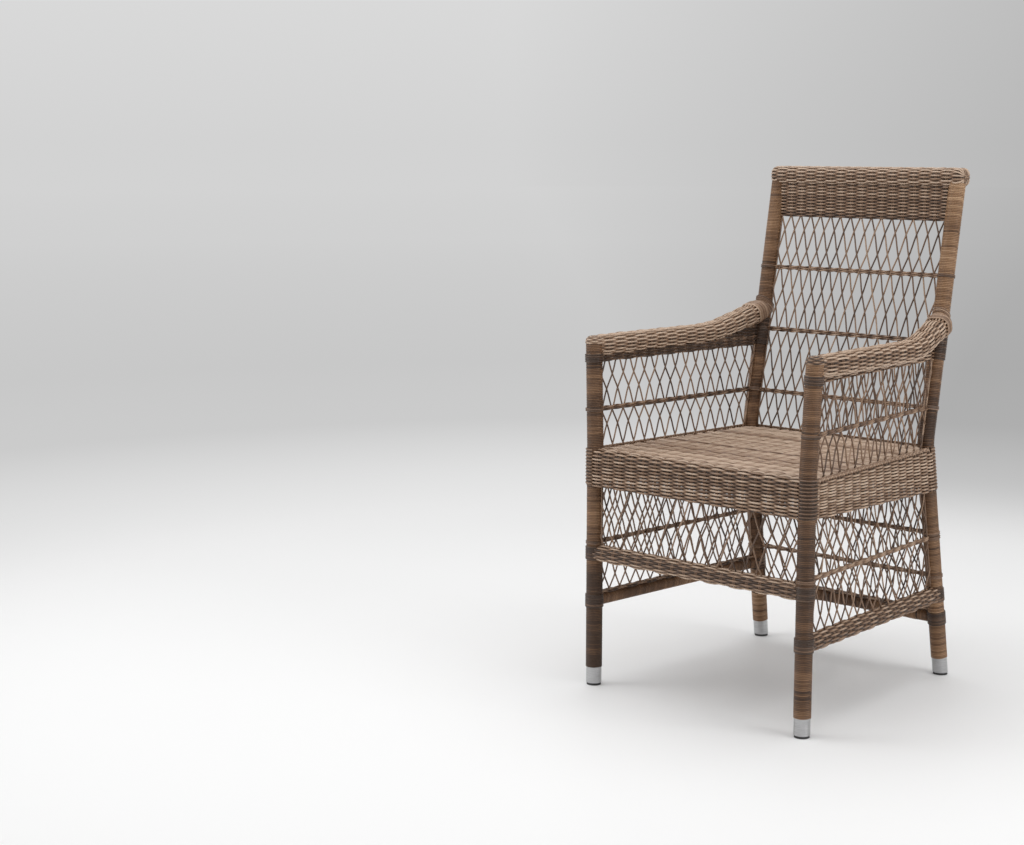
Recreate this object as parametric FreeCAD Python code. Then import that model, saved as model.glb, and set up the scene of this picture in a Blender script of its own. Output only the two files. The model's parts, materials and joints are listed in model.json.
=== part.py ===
"""Woven dining armchair: a welded aluminium tube frame, wrapped and woven over with round wicker strand.

Millimetres. +Z is up, the front faces -Y and the sitter's left hand is at +X. The origin is on the floor,
in the middle of the chair's width and depth.
"""

import math
import os

import FreeCAD
import Part

Vec = FreeCAD.Vector

# Overall places of the legs and the seat
seat_height = 450.0
overall_height = 962.0
front_leg_spacing = 468.0
back_post_spacing = 398.0
back_foot_spacing = 418.0
seat_depth = 438.0
back_rake = 87.0
back_foot_splay = 67.0
leg_bend_radius = 160.0
arm_post_flare = 7.0
arm_post_set_back = 3.0

# Tubes of the frame and the strand that covers them
leg_tube_diameter = 25.0
tube_wall = 1.5
leg_wrap_thickness = 3.0
rail_tube_diameter = 18.0
rail_wrap_thickness = 2.5
seat_rail_diameter = 20.0
support_bar_diameter = 16.0
support_bar_count = 3
strand = 3.0
fit_gap = 0.3

# Feet
ferrule_diameter = 29.0
ferrule_height = 35.0
glide_diameter = 27.0
glide_height = 4.5
glide_spigot_length = 20.0

# Apron and seat
apron_thickness = 6.0
apron_front_height = 69.0
apron_back_height = 85.0
nosing_radius = 13.0
nosing_lap = 24.0
deck_thickness = 5.0
deck_drop = 3.0
deck_course_width = 36.0
deck_course_flank = 7.0
deck_course_rise = 2.0
border_height = 9.0
border_width = 9.0

# Lower rails
side_rail_front_z = 162.0
side_rail_back_z = 160.0
back_rail_z = 114.0
front_rail_z = 253.0
rail_weave_thickness = 3.5
rail_weave_wrap_angle = 158.0

# Arms
arm_height = 658.0
arm_roll_height = 38.0
arm_roll_inner_reach = 18.0
arm_roll_outer_reach = 28.0
arm_roll_corner = 15.0
arm_root_half_width = 12.0
arm_cap_overhang = 0.5
arm_cap_rounding = 9.5
arm_cap_height = 11.0
arm_cap_seat_gap = 1.0
arm_taper_length = 75.0
arm_tube_diameter = 20.0
arm_bend_from_front = 340.0
arm_bow = 12.0
arm_rise = 40.0
arm_bend_radius = 260.0
arm_band_height = 11.0
binding_width = 20.0
binding_thickness = 3.0

# Head of the back
head_roll_height = 37.0
head_roll_front_reach = 20.0
head_roll_back_reach = 27.0
head_roll_corner = 16.0
head_roll_overhang = 17.5
head_roll_end_rounding = 12.0
head_band_height = 62.0
head_band_forward = 10.0
band_thickness = 6.0

# Twined rows that tie the lattice strands together
row_height = 7.0
row_thickness = 7.0
back_row_first_drop = 100.0
back_row_pitch = 121.5
arm_row_below_middle = 8.0
side_skirt_row_drop = 108.0
back_skirt_row_pitch = 84.0

# Open lattice: the width of a diamond and the usual climb from one level of crossings to the next
back_diamond_width = 23.0
side_diamond_width = 28.6
skirt_diamond_width = 27.4
back_crossing_climb = 36.0
side_crossing_climb = 33.0
skirt_crossing_climb = 32.0
lattice_margin = 2.0
least_gap_area = 6.0

# Places worked out from the sizes above
leg_tube_r = leg_tube_diameter / 2
leg_wrap_r = leg_tube_r + leg_wrap_thickness
rail_tube_r = rail_tube_diameter / 2
rail_wrap_r = rail_tube_r + rail_wrap_thickness
seat_rail_r = seat_rail_diameter / 2
arm_tube_r = arm_tube_diameter / 2
apron_inner = seat_rail_r + fit_gap
apron_outer = apron_inner + apron_thickness
arm_cap_r = leg_wrap_r + arm_cap_overhang
front_reach = max(apron_outer, arm_cap_r - arm_post_set_back)
overall_depth = front_reach + seat_depth + back_rake + head_roll_back_reach
front_y = front_reach - overall_depth / 2
back_seat_y = front_y + seat_depth
back_foot_y = back_seat_y + back_foot_splay
back_top_y = back_seat_y + back_rake
front_x = front_leg_spacing / 2
back_x = back_post_spacing / 2
back_foot_x = back_foot_spacing / 2
top_rail_z = overall_height - head_roll_height / 2
head_roll_low_z = overall_height - head_roll_height
arm_tube_z = arm_height - arm_roll_height / 2
deck_top = seat_height - deck_drop
deck_low = deck_top - deck_thickness
seat_rail_z = deck_low - fit_gap - seat_rail_r
front_leg_top = arm_height - arm_cap_height - arm_cap_seat_gap
apron_low_front = seat_height - apron_front_height
apron_low_back = seat_height - apron_back_height
reach = overall_height + overall_depth

SIDES = {"left": 1, "right": -1}
parts = {}


def keep(name, shape):
    """Files a piece under its node name."""
    parts[name] = shape


def cylinder(start, end, radius):
    """Solid rod from one point to another."""
    axis = end - start
    return Part.makeCylinder(radius, axis.Length, start, axis)


def tube(start, end, outer, inner):
    """Straight tube."""
    return cylinder(start, end, outer).cut(cylinder(start, end, inner))


def bent_path(points, radius):
    """Wire of straight runs joined by tangent arcs of one radius."""
    edges = []
    at = points[0]
    for before, corner, after in zip(points, points[1:], points[2:]):
        come = (corner - before).normalize()
        go = (after - corner).normalize()
        turn = come.getAngle(go)
        back_off = radius * math.tan(turn / 2)
        first = corner - come * back_off
        last = corner + go * back_off
        bisector = (go - come).normalize()
        middle = corner + bisector * (radius / math.cos(turn / 2) - radius)
        edges.append(Part.LineSegment(at, first).toShape())
        edges.append(Part.Arc(first, middle, last).toShape())
        at = last
    edges.append(Part.LineSegment(at, points[-1]).toShape())
    return Part.Wire(edges)


def swept_rod(path, radius, start, direction):
    """Round rod along a path."""
    circle = Part.Wire(Part.makeCircle(radius, start, direction))
    return path.makePipeShell([circle], True, False)


def rounded_profile(origin, across, up, low, high, bottom, top, corner):
    """Closed wire of a rounded box section, in the plane of two directions."""

    def at(a, b):
        return origin + across * a + up * b

    diagonal = corner * (1 - math.sqrt(0.5))
    edges = []
    corners = (
        ((high, bottom), (-1, 1)),
        ((high, top), (-1, -1)),
        ((low, top), (1, -1)),
        ((low, bottom), (1, 1)),
    )
    turns = []
    for index, ((a, b), (into_a, into_b)) in enumerate(corners):
        side_a = at(a, b + into_b * corner)
        side_b = at(a + into_a * corner, b)
        middle = at(a + into_a * diagonal, b + into_b * diagonal)
        turns.append((side_b, middle, side_a) if index % 2 == 0 else (side_a, middle, side_b))
    for index, (first, middle, last) in enumerate(turns):
        edges.append(Part.Arc(first, middle, last).toShape())
        edges.append(Part.LineSegment(last, turns[(index + 1) % 4][0]).toShape())
    return Part.Wire(edges)


def prism(points, thickness):
    """Polygon thickened equally to both sides of the plane of its first three points."""
    normal = (points[1] - points[0]).cross(points[2] - points[0]).normalize()
    low = [p - normal * ((p - points[0]).dot(normal) + thickness / 2) for p in points]
    face = Part.Face(Part.makePolygon(low + low[:1]))
    return face.extrude(normal * thickness)


def largest(shape):
    """The biggest solid of a cut."""
    return max(shape.Solids, key=lambda s: s.Volume)


def front_leg_at(side, z):
    """Point on a front leg's centre line, upright to the seat and flared above it, without its bend."""
    share = max(z - seat_height, 0) / (front_leg_top - seat_height)
    return Vec(side * (front_x + arm_post_flare * share), front_y + arm_post_set_back * share, z)


def back_leg_at(side, z):
    """Point on a back leg's centre line, without its bend."""
    if z <= seat_height:
        share = z / seat_height
        x = back_foot_x + (back_x - back_foot_x) * share
        y = back_foot_y + (back_seat_y - back_foot_y) * share
        return Vec(side * x, y, z)
    share = (z - seat_height) / (top_rail_z - seat_height)
    return Vec(side * back_x, back_seat_y + (back_top_y - back_seat_y) * share, z)


def leg_path(side, is_front):
    """Centre line of a leg from the floor to its top, and its direction at the floor."""
    line, top = (front_leg_at, front_leg_top) if is_front else (back_leg_at, top_rail_z)
    points = [line(side, z) for z in (0, seat_height, top)]
    return bent_path(points, leg_bend_radius), points[0], points[1] - points[0]


def leg_rod(side, is_front, radius):
    """Solid rod along a leg, running past the floor so that it can be cut level."""
    path, start, direction = leg_path(side, is_front)
    rod = swept_rod(path, radius, start, direction)
    below = direction * (-radius / direction.Length)
    return rod.fuse(cylinder(start + below, start, radius)).removeSplitter()


def slab(low, high):
    """Space between two heights, wider than the chair."""
    return Part.makeBox(2 * reach, 2 * reach, high - low, Vec(-reach, -reach, low))


def clip(polygon, inside_of):
    """Part of a convex polygon that lies inside another one, both given anticlockwise."""
    result = polygon
    for (ax, ay), (bx, by) in zip(inside_of, inside_of[1:] + inside_of[:1]):
        kept = []
        for (px, py), (qx, qy) in zip(result, result[1:] + result[:1]):
            p_in = (bx - ax) * (py - ay) - (by - ay) * (px - ax)
            q_in = (bx - ax) * (qy - ay) - (by - ay) * (qx - ax)
            if p_in >= 0:
                kept.append((px, py))
            if p_in * q_in < 0:
                share = p_in / (p_in - q_in)
                kept.append((px + (qx - px) * share, py + (qy - py) * share))
        result = kept
        if len(result) < 3:
            return []
    return result


def area(polygon):
    """Area of a polygon."""
    pairs = zip(polygon, polygon[1:] + polygon[:1])
    return sum(ax * by - bx * ay for (ax, ay), (bx, by) in pairs) / 2


def inset(polygon, distance):
    """Convex polygon with each side moved in by a distance."""
    lines = []
    for (ax, ay), (bx, by) in zip(polygon, polygon[1:] + polygon[:1]):
        length = math.hypot(bx - ax, by - ay)
        nx, ny = -(by - ay) / length, (bx - ax) / length
        lines.append(((ax + nx * distance, ay + ny * distance), (bx - ax, by - ay)))
    moved = []
    for (p, d), (q, e) in zip(lines[-1:] + lines[:-1], lines):
        cross = d[0] * e[1] - d[1] * e[0]
        share = ((q[0] - p[0]) * e[1] - (q[1] - p[1]) * e[0]) / cross
        moved.append((p[0] + d[0] * share, p[1] + d[1] * share))
    return moved


def lattice_gaps(outline, diamond_width, climb, anchor, anchor_level):
    """Diamond gaps between two crossing sets of leaning strands, kept inside an outline. anchor is the height
    of one level of crossings and climb the height from one level to the next."""
    room = inset(outline, lattice_margin)
    lean = diamond_width / climb / 2
    half_width = diamond_width / 2 - strand / 2 * math.hypot(1, lean)
    half_height = half_width / lean
    low_a = min(a for a, b in outline)
    high_a = max(a for a, b in outline)
    low_b = min(b for a, b in outline)
    high_b = max(b for a, b in outline)
    middle = (low_a + high_a) / 2
    columns = int((high_a - low_a) / diamond_width) + 2
    first_level = anchor_level + math.floor((low_b - anchor) / climb) - 1
    last_level = anchor_level + math.ceil((high_b - anchor) / climb) + 1
    gaps = []
    for level in range(first_level, last_level + 1):
        for column in range(-columns, columns + 1):
            a = middle + (column + 0.5 * (level % 2)) * diamond_width
            b = anchor + (level - anchor_level) * climb
            diamond = [(a - half_width, b), (a, b - half_height), (a + half_width, b), (a, b + half_height)]
            gap = clip(diamond, room)
            if gap and area(gap) > least_gap_area:
                gaps.append(gap)
    return gaps


def lattice(corners, diamond_width, climb, anchor_z, anchor_level):
    """Flat net with diamond gaps that fills four corners, given anticlockwise with the low edge first."""
    low_start, low_end = corners[0], corners[1]
    across = Vec(low_end.x - low_start.x, low_end.y - low_start.y, 0).normalize()
    normal = (low_end - low_start).cross(corners[2] - low_start).normalize()
    up = normal.cross(across).normalize()
    origin = low_start - up * (low_start.z / up.z)
    flat = [((p - origin).dot(across), (p - origin).dot(up)) for p in corners]

    def wire(polygon):
        ring = [origin + across * a + up * b - normal * (strand / 2) for a, b in polygon]
        return Part.makePolygon(ring + ring[:1])

    gaps = lattice_gaps(flat, diamond_width, climb / up.z, anchor_z / up.z, anchor_level)
    holes = [wire(gap[::-1]) for gap in gaps]
    face = Part.Face([wire(flat)] + holes)
    return face.extrude(normal * strand)


def between(start, end, from_start, from_end):
    """Points at given distances from both ends of a level run."""
    run = Vec(end.x - start.x, end.y - start.y, 0).normalize()
    return start + run * from_start, end - run * from_end


def panel_corners(line_a, line_b, low, high):
    """Corners of a panel between two legs. low and high give the height at each leg."""
    clear = leg_wrap_r + fit_gap
    low_a, low_b = between(line_a(low[0]), line_b(low[1]), clear, clear)
    high_a, high_b = between(line_a(high[0]), line_b(high[1]), clear, clear)
    return [low_a, low_b, high_b, high_a]


def crossing_plan(rows, climb, top):
    """For each field between rows, from the lowest up: the climb from one level of crossings to the next,
    and the height and number of one level. The strands cross in each row, whole levels apart."""
    if not rows:
        return [(climb, top, 0)]
    plan = [(climb, rows[0], 0)]
    level = 0
    for below, above in zip(rows, rows[1:]):
        levels = max(round((above - below) / climb), 1)
        plan.append(((above - below) / levels, below, level))
        level += levels
    return plan + [(climb, rows[-1], level)]


def stacked_panel(name, row_name, line_a, line_b, low, high, rows, diamond_width, climb):
    """Lattice between two legs, divided by twined rows. low and high are heights at the two legs,
    and rows are heights from the lowest up."""
    edges = [low]
    for row in rows:
        edges += [(row - row_height / 2,) * 2, (row + row_height / 2,) * 2]
    edges.append(high)
    nets = []
    fields = zip(edges[::2], edges[1::2])
    for (bottom, top), (step, anchor_z, level) in zip(fields, crossing_plan(rows, climb, high[0])):
        corners = panel_corners(line_a, line_b, bottom, top)
        nets.append(lattice(corners, diamond_width, step, anchor_z, level))
    keep(name, Part.makeCompound(nets))
    bars = []
    for bottom, top in zip(edges[1::2], edges[2::2]):
        bars.append(prism(panel_corners(line_a, line_b, bottom, top), row_thickness))
    if bars:
        keep(row_name, Part.makeCompound(bars))


def make_legs():
    """Frame tubes, wraps, ferrules and glides of the four legs."""
    ferrules = []
    glides = []
    for place, is_front in (("front", True), ("back", False)):
        for side_name, side in SIDES.items():
            above_floor = slab(glide_height, reach)
            hollow = leg_rod(side, is_front, leg_tube_r - tube_wall)
            core = leg_rod(side, is_front, leg_tube_r)
            frame_tube = core.cut(hollow).common(above_floor)
            wrap = leg_rod(side, is_front, leg_wrap_r).cut(core).common(slab(ferrule_height, reach))
            if not is_front:
                top_rail = top_rail_rod(leg_tube_r)
                frame_tube = largest(frame_tube.cut(top_rail))
                wrap = largest(wrap.common(slab(0, head_roll_low_z)))
            for rail in frame_rods():
                wrap = wrap.cut(rail)
            keep(f"{place}_{side_name}_leg_tube", largest(frame_tube))
            keep(f"{place}_{side_name}_leg_wrap", largest(wrap))
            ring = leg_rod(side, is_front, ferrule_diameter / 2).cut(core)
            ferrules.append(largest(ring.common(slab(glide_height, ferrule_height))))
            foot = leg_rod(side, is_front, glide_diameter / 2).common(slab(0, glide_height))
            spigot = leg_rod(side, is_front, leg_tube_r - tube_wall - fit_gap)
            spigot = spigot.common(slab(glide_height, glide_height + glide_spigot_length))
            glides.append(foot.fuse(spigot).removeSplitter())
    keep("foot_ferrules", Part.makeCompound(ferrules))
    keep("foot_glides", Part.makeCompound(glides))


def top_rail_rod(radius, past=0.0):
    """Rod of the top rail, as far as the outer sides of the posts or a little past them."""
    half = back_x + leg_tube_r + past
    return cylinder(Vec(-half, back_top_y, top_rail_z), Vec(half, back_top_y, top_rail_z), radius)


def rail_lines():
    """Centre lines of the tubes that join the legs, with their radii."""
    lines = {}
    for side_name, side in SIDES.items():
        lines[f"side_{side_name}_rail"] = (
            front_leg_at(side, side_rail_front_z),
            back_leg_at(side, side_rail_back_z),
            rail_tube_r,
        )
        lines[f"seat_{side_name}_rail"] = (
            front_leg_at(side, seat_rail_z),
            back_leg_at(side, seat_rail_z),
            seat_rail_r,
        )
    for name, line, z, radius in (
        ("front_rail", front_leg_at, front_rail_z, rail_tube_r),
        ("back_rail", back_leg_at, back_rail_z, rail_tube_r),
        ("seat_front_rail", front_leg_at, seat_rail_z, seat_rail_r),
        ("seat_back_rail", back_leg_at, seat_rail_z, seat_rail_r),
    ):
        lines[name] = (line(-1, z), line(1, z), radius)
    return lines


def frame_rods():
    """Solid rods of every tube that passes through a leg wrap, with room to pass."""
    rods = [cylinder(start, end, radius + fit_gap) for start, end, radius in rail_lines().values()]
    for side in SIDES.values():
        rods.append(arm_rod(side, arm_tube_r + fit_gap))
    return rods


def all_leg_rods(radius):
    """Rods along the four legs."""
    return [leg_rod(side, is_front, radius) for side in SIDES.values() for is_front in (True, False)]


def make_rails():
    """Tubes between the legs, coped to the leg tubes, and the bars that carry the seat."""
    cores = all_leg_rods(leg_tube_r)
    for name, (start, end, radius) in rail_lines().items():
        rail = tube(start, end, radius, radius - tube_wall)
        for core in cores:
            rail = rail.cut(core)
        keep(f"{name}_tube", largest(rail))
    bars = []
    bar_r = support_bar_diameter / 2
    bar_z = deck_low - fit_gap - bar_r
    left_rail = rail_lines()["seat_left_rail"]
    for index in range(support_bar_count):
        share = (index + 1) / (support_bar_count + 1)
        end = left_rail[0] + (left_rail[1] - left_rail[0]) * share
        right_end = Vec(-end.x, end.y, bar_z)
        bar = tube(Vec(end.x, end.y, bar_z), right_end, bar_r, bar_r - tube_wall)
        for side_name in SIDES:
            start, stop, radius = rail_lines()[f"seat_{side_name}_rail"]
            bar = bar.cut(cylinder(start, stop, radius))
        bars.append(largest(bar))
    keep("seat_support_bars", Part.makeCompound(bars))
    rail = top_rail_rod(leg_tube_r).cut(top_rail_rod(leg_tube_r - tube_wall))
    keep("top_rail_tube", rail)


def make_rail_wraps():
    """Strand wound on the lower rails, and the woven band on each rail's outer face."""
    legs = all_leg_rods(leg_wrap_r + fit_gap)
    outward = {
        "front_rail": Vec(0, -1, 0),
        "back_rail": Vec(0, 1, 0),
        "side_left_rail": Vec(1, 0, 0),
        "side_right_rail": Vec(-1, 0, 0),
    }
    band_r = rail_wrap_r + rail_weave_thickness
    for name, out in outward.items():
        start, end, radius = rail_lines()[name]
        wrap = tube(start, end, rail_wrap_r, radius)
        band = tube(start, end, band_r, rail_wrap_r)
        half_angle = math.radians(rail_weave_wrap_angle) / 2
        tip = out * (2 * band_r)
        rise = Vec(0, 0, 2 * band_r * math.tan(half_angle))
        outer_side = [start, start + tip + rise, start + tip - rise]
        wedge = Part.Face(Part.makePolygon(outer_side + outer_side[:1])).extrude(end - start)
        band = band.common(wedge)
        for leg in legs:
            wrap = wrap.cut(leg)
            band = band.cut(leg)
        keep(f"{name}_wrap", largest(wrap))
        keep(f"{name}_weave", largest(band))


def end_room(inner_offset):
    """How far short of a leg's centre line a wall stops whose inner face lies beside that line."""
    return math.sqrt((leg_wrap_r + 2 * fit_gap) ** 2 - inner_offset**2)


def outer_run(line_a, line_b, z_a, z_b, out, inner_offset):
    """Two points between the legs, moved out from their centre lines."""
    room = end_room(inner_offset)
    start, end = between(line_a(z_a), line_b(z_b), room, room)
    return start + out, end + out


def make_aprons():
    """Woven bands round the seat frame. The front one turns over the front rail as a nosing."""
    mid = apron_inner + apron_thickness / 2
    half = front_x - end_room(apron_inner)
    inner_r = nosing_radius - apron_thickness
    face_y = front_y - apron_outer
    top = seat_height

    def bend(radius):
        centre = Vec(-half, face_y + nosing_radius, top - nosing_radius)
        diagonal = radius * math.sqrt(0.5)
        return (
            centre + Vec(0, -radius, 0),
            centre + Vec(0, -diagonal, diagonal),
            centre + Vec(0, 0, radius),
        )

    outer_bend = bend(nosing_radius)
    inner_bend = bend(inner_r)
    low_out = Vec(-half, face_y, apron_low_front)
    low_in = Vec(-half, face_y + apron_thickness, apron_low_front)
    lap_out = outer_bend[2] + Vec(0, nosing_lap, 0)
    lap_in = inner_bend[2] + Vec(0, nosing_lap, 0)
    edges = [
        Part.LineSegment(low_out, outer_bend[0]),
        Part.Arc(*outer_bend),
        Part.LineSegment(outer_bend[2], lap_out),
        Part.LineSegment(lap_out, lap_in),
        Part.LineSegment(lap_in, inner_bend[2]),
        Part.Arc(*reversed(inner_bend)),
        Part.LineSegment(inner_bend[0], low_in),
        Part.LineSegment(low_in, low_out),
    ]
    profile = Part.Wire([edge.toShape() for edge in edges])
    front = Part.Face(profile).extrude(Vec(2 * half, 0, 0))
    for side in SIDES.values():
        front = front.cut(leg_rod(side, True, leg_wrap_r + fit_gap))
    keep("apron_front", largest(front))

    borders = []
    runs = [("back", lambda z: back_leg_at(1, z), lambda z: back_leg_at(-1, z), Vec(0, 1, 0), apron_low_back)]
    for side_name, side in SIDES.items():
        along = (back_leg_at(side, seat_height) - front_leg_at(side, seat_height)).normalize()
        runs.append(
            (
                side_name,
                lambda z, side=side: front_leg_at(side, z),
                lambda z, side=side: back_leg_at(side, z),
                Vec(side * along.y, -side * along.x, 0),
                apron_low_front,
            )
        )
    for name, line_a, line_b, out, low_a in runs:
        wall_top = seat_height - border_height
        low_start, low_end = outer_run(line_a, line_b, low_a, apron_low_back, out * mid, apron_inner)
        top_start, top_end = outer_run(line_a, line_b, wall_top, wall_top, out * mid, apron_inner)
        keep(f"apron_{name}", prism([low_start, top_start, top_end, low_end], apron_thickness))
        edge_mid = out * (apron_outer - border_width / 2)
        edge_inner = apron_outer - border_width
        b_start, b_end = outer_run(line_a, line_b, wall_top, wall_top, edge_mid, edge_inner)
        up = Vec(0, 0, border_height)
        borders.append(prism([b_start, b_end, b_end + up, b_start + up], border_width))
    keep("seat_borders", Part.makeCompound(borders))


def deck_courses(front_edge, back_edge):
    """Seat's thickness from front to back, raised in courses of weavers that run from side to side."""
    count = max(round((back_edge - front_edge) / deck_course_width), 1)
    course = (back_edge - front_edge) / count
    groove = deck_top - deck_course_rise
    ring = [(front_edge, deck_low), (front_edge, groove)]
    for index in range(count):
        start = front_edge + index * course
        ring.append((start + deck_course_flank, deck_top))
        ring.append((start + course - deck_course_flank, deck_top))
        ring.append((start + course, groove))
    ring.append((back_edge, deck_low))
    points = [Vec(-reach, y, z) for y, z in ring]
    return Part.Face(Part.makePolygon(points + points[:1])).extrude(Vec(2 * reach, 0, 0))


def make_deck():
    """Woven seat, lying on the support bars inside the aprons."""
    front_edge = front_y - apron_outer + nosing_radius + nosing_lap + fit_gap
    clear = border_width - apron_outer + fit_gap
    along = (back_leg_at(1, seat_height) - front_leg_at(1, seat_height)).normalize()
    inward = Vec(-along.y, along.x, 0) * clear

    def edge_x(y):
        share = (y - front_y) / (back_seat_y - front_y)
        return front_x + (back_x - front_x) * share + inward.x

    back_edge = back_seat_y - clear
    corners = [(-edge_x(front_edge), front_edge), (edge_x(front_edge), front_edge)]
    corners += [(edge_x(back_edge), back_edge), (-edge_x(back_edge), back_edge)]
    middle_z = deck_top - deck_thickness / 2
    plan = prism([Vec(x, y, middle_z) for x, y in corners], 2 * deck_thickness)
    deck = deck_courses(front_edge, back_edge).common(plan)
    for leg in all_leg_rods(leg_wrap_r + fit_gap):
        deck = deck.cut(leg)
    keep("seat_deck", largest(deck))


def arm_points(side):
    """Corners of an arm's centre line, from its front end to the back post. It bows out, then rises."""
    front = front_leg_at(side, arm_tube_z)
    back = back_leg_at(side, arm_tube_z + arm_rise)
    share = arm_bend_from_front / (back.y - front.y)
    bend_x = front.x + (back.x - front.x) * share + side * arm_bow
    return [front, Vec(bend_x, front.y + arm_bend_from_front, arm_tube_z), back]


def arm_panel_lines(side):
    """Lines that an arm's net and band hang between. The front one is halfway out along the post's flare."""

    def front(z):
        return Vec(side * (front_x + arm_post_flare / 2), front_leg_at(side, z).y, z)

    return front, lambda z: back_leg_at(side, z)


def arm_rod(side, radius):
    """Rod along an arm's centre line."""
    points = arm_points(side)
    return swept_rod(bent_path(points, arm_bend_radius), radius, points[0], points[1] - points[0])


def arm_section_sweep(side, inner, outer, low, high, corner):
    """Rounded section swept along an arm, from the front post to the back post."""
    points = arm_points(side)
    along = (points[1] - points[0]).normalize()
    path = bent_path(points, arm_bend_radius)
    across = Vec(side * along.y, -side * along.x, 0)
    profile = rounded_profile(points[0], across, Vec(0, 0, 1), -inner, outer, low, high, corner)
    return path.makePipeShell([profile], True, False)


def arm_plan(side):
    """Upright prism of an arm roll's plan, which narrows to the front post."""
    points = arm_points(side)
    along = (points[1] - points[0]).normalize()
    across = Vec(side * along.y, -side * along.x, 0)
    base = Vec(points[0].x, points[0].y, 0)
    steps = [
        (0, -arm_root_half_width),
        (0, arm_root_half_width),
        (arm_taper_length, arm_roll_outer_reach),
        (arm_taper_length, reach),
        (reach, reach),
        (reach, -reach),
        (arm_taper_length, -reach),
        (arm_taper_length, -arm_roll_inner_reach),
    ]
    ring = [base + along * a + across * b for a, b in steps]
    return Part.Face(Part.makePolygon(ring + ring[:1])).extrude(Vec(0, 0, reach))


def arm_cap(side):
    """Rounded cap of an arm roll over its front post."""
    base = front_leg_at(side, arm_height - arm_cap_height)
    cap = Part.makeCylinder(arm_cap_r, arm_cap_height, base)
    top_edges = [edge for edge in cap.Edges if edge.CenterOfMass.z > arm_height - fit_gap]
    return cap.makeFillet(arm_cap_rounding, top_edges)


def make_arms():
    """Arm tubes, their woven rolls, the bands under them and the bindings at the back posts."""
    half = arm_roll_height / 2
    for side_name, side in SIDES.items():
        front_core = leg_rod(side, True, leg_tube_r)
        back_core = leg_rod(side, False, leg_tube_r)
        front_wrap = leg_rod(side, True, leg_wrap_r + fit_gap)
        back_wrap = leg_rod(side, False, leg_wrap_r + fit_gap)
        rod = arm_rod(side, arm_tube_r)
        arm_tube = rod.cut(arm_rod(side, arm_tube_r - tube_wall)).cut(front_core).cut(back_core)
        keep(f"{side_name}_arm_tube", largest(arm_tube))
        reaches = (arm_roll_inner_reach, arm_roll_outer_reach)
        roll = arm_section_sweep(side, *reaches, -half, half, arm_roll_corner)
        roll = roll.common(arm_plan(side)).fuse(arm_cap(side)).removeSplitter()
        binding_zone = leg_rod(side, False, leg_wrap_r + binding_width)
        core = arm_rod(side, arm_tube_r + fit_gap)
        body = roll.cut(core).cut(front_wrap).cut(binding_zone)
        keep(f"{side_name}_arm_roll", largest(body))
        proud = half + binding_thickness
        collar = arm_section_sweep(
            side,
            arm_roll_inner_reach + binding_thickness,
            arm_roll_outer_reach + binding_thickness,
            -proud,
            proud,
            arm_roll_corner + binding_thickness,
        )
        inside = leg_rod(side, False, leg_wrap_r + binding_width - fit_gap)
        collar = collar.common(inside).cut(core).cut(back_wrap)
        keep(f"{side_name}_arm_binding", largest(collar))
        make_arm_band(side_name, side)


def make_arm_band(side_name, side):
    """Woven band that hangs from an arm roll, over the lattice."""
    low = arm_height - arm_roll_height - arm_band_height
    corners = panel_corners(*arm_panel_lines(side), (low, low), (arm_tube_z, arm_tube_z))
    room = arm_section_sweep(
        side,
        arm_roll_inner_reach + binding_thickness + fit_gap,
        arm_roll_outer_reach + binding_thickness + fit_gap,
        -arm_roll_height / 2 - fit_gap,
        arm_roll_height,
        arm_roll_corner,
    )
    binding_room = arm_section_sweep(
        side,
        arm_roll_inner_reach + binding_thickness + fit_gap,
        arm_roll_outer_reach + binding_thickness + fit_gap,
        -arm_roll_height / 2 - binding_thickness - fit_gap,
        arm_roll_height,
        arm_roll_corner,
    )
    binding_room = binding_room.common(leg_rod(side, False, leg_wrap_r + binding_width))
    lifted = [corners[0], corners[1], corners[2] + Vec(0, 0, arm_rise), corners[3]]
    band = prism(lifted, band_thickness).cut(room).cut(leg_rod(side, False, leg_wrap_r + fit_gap))
    keep(f"{side_name}_arm_band", largest(band.cut(binding_room)))


def head_section(grow):
    """Rounded body of the head roll, made larger by a distance on every side."""
    half = back_x + head_roll_overhang + grow
    profile = rounded_profile(
        Vec(-half, back_top_y, top_rail_z),
        Vec(0, 1, 0),
        Vec(0, 0, 1),
        -head_roll_front_reach - grow,
        head_roll_back_reach + grow,
        -head_roll_height / 2 - grow,
        head_roll_height / 2 + grow,
        head_roll_corner + grow,
    )
    body = Part.Face(profile).extrude(Vec(2 * half, 0, 0))
    ends = [edge for edge in body.Edges if abs(abs(edge.CenterOfMass.x) - half) < fit_gap]
    return body.makeFillet(head_roll_end_rounding, ends)


def make_head():
    """Woven roll over the top rail, and the band that comes forward to meet it."""
    roll = head_section(0).cut(top_rail_rod(leg_tube_r + fit_gap, fit_gap))
    for side in SIDES.values():
        roll = roll.cut(leg_rod(side, False, leg_tube_r + fit_gap))
    keep("head_roll", largest(roll))
    low = head_roll_low_z - head_band_height
    forward = Vec(0, -head_band_forward, 0)
    feet = [back_leg_at(side, low) for side in (-1, 1)]
    tops = [back_leg_at(side, top_rail_z) + forward for side in (1, -1)]
    band = prism(feet + tops, band_thickness).cut(head_section(fit_gap))
    for side in SIDES.values():
        band = band.cut(leg_rod(side, False, leg_wrap_r + fit_gap))
    keep("head_band", largest(band.common(slab(low, top_rail_z))))


def rows_down(top, bottom, first_drop, pitch):
    """Heights of twined rows counted down from the top of a field, the lowest first."""
    count = math.floor((top - first_drop - row_height - bottom) / pitch) + 1
    return [top - first_drop - index * pitch for index in reversed(range(count))]


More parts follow.
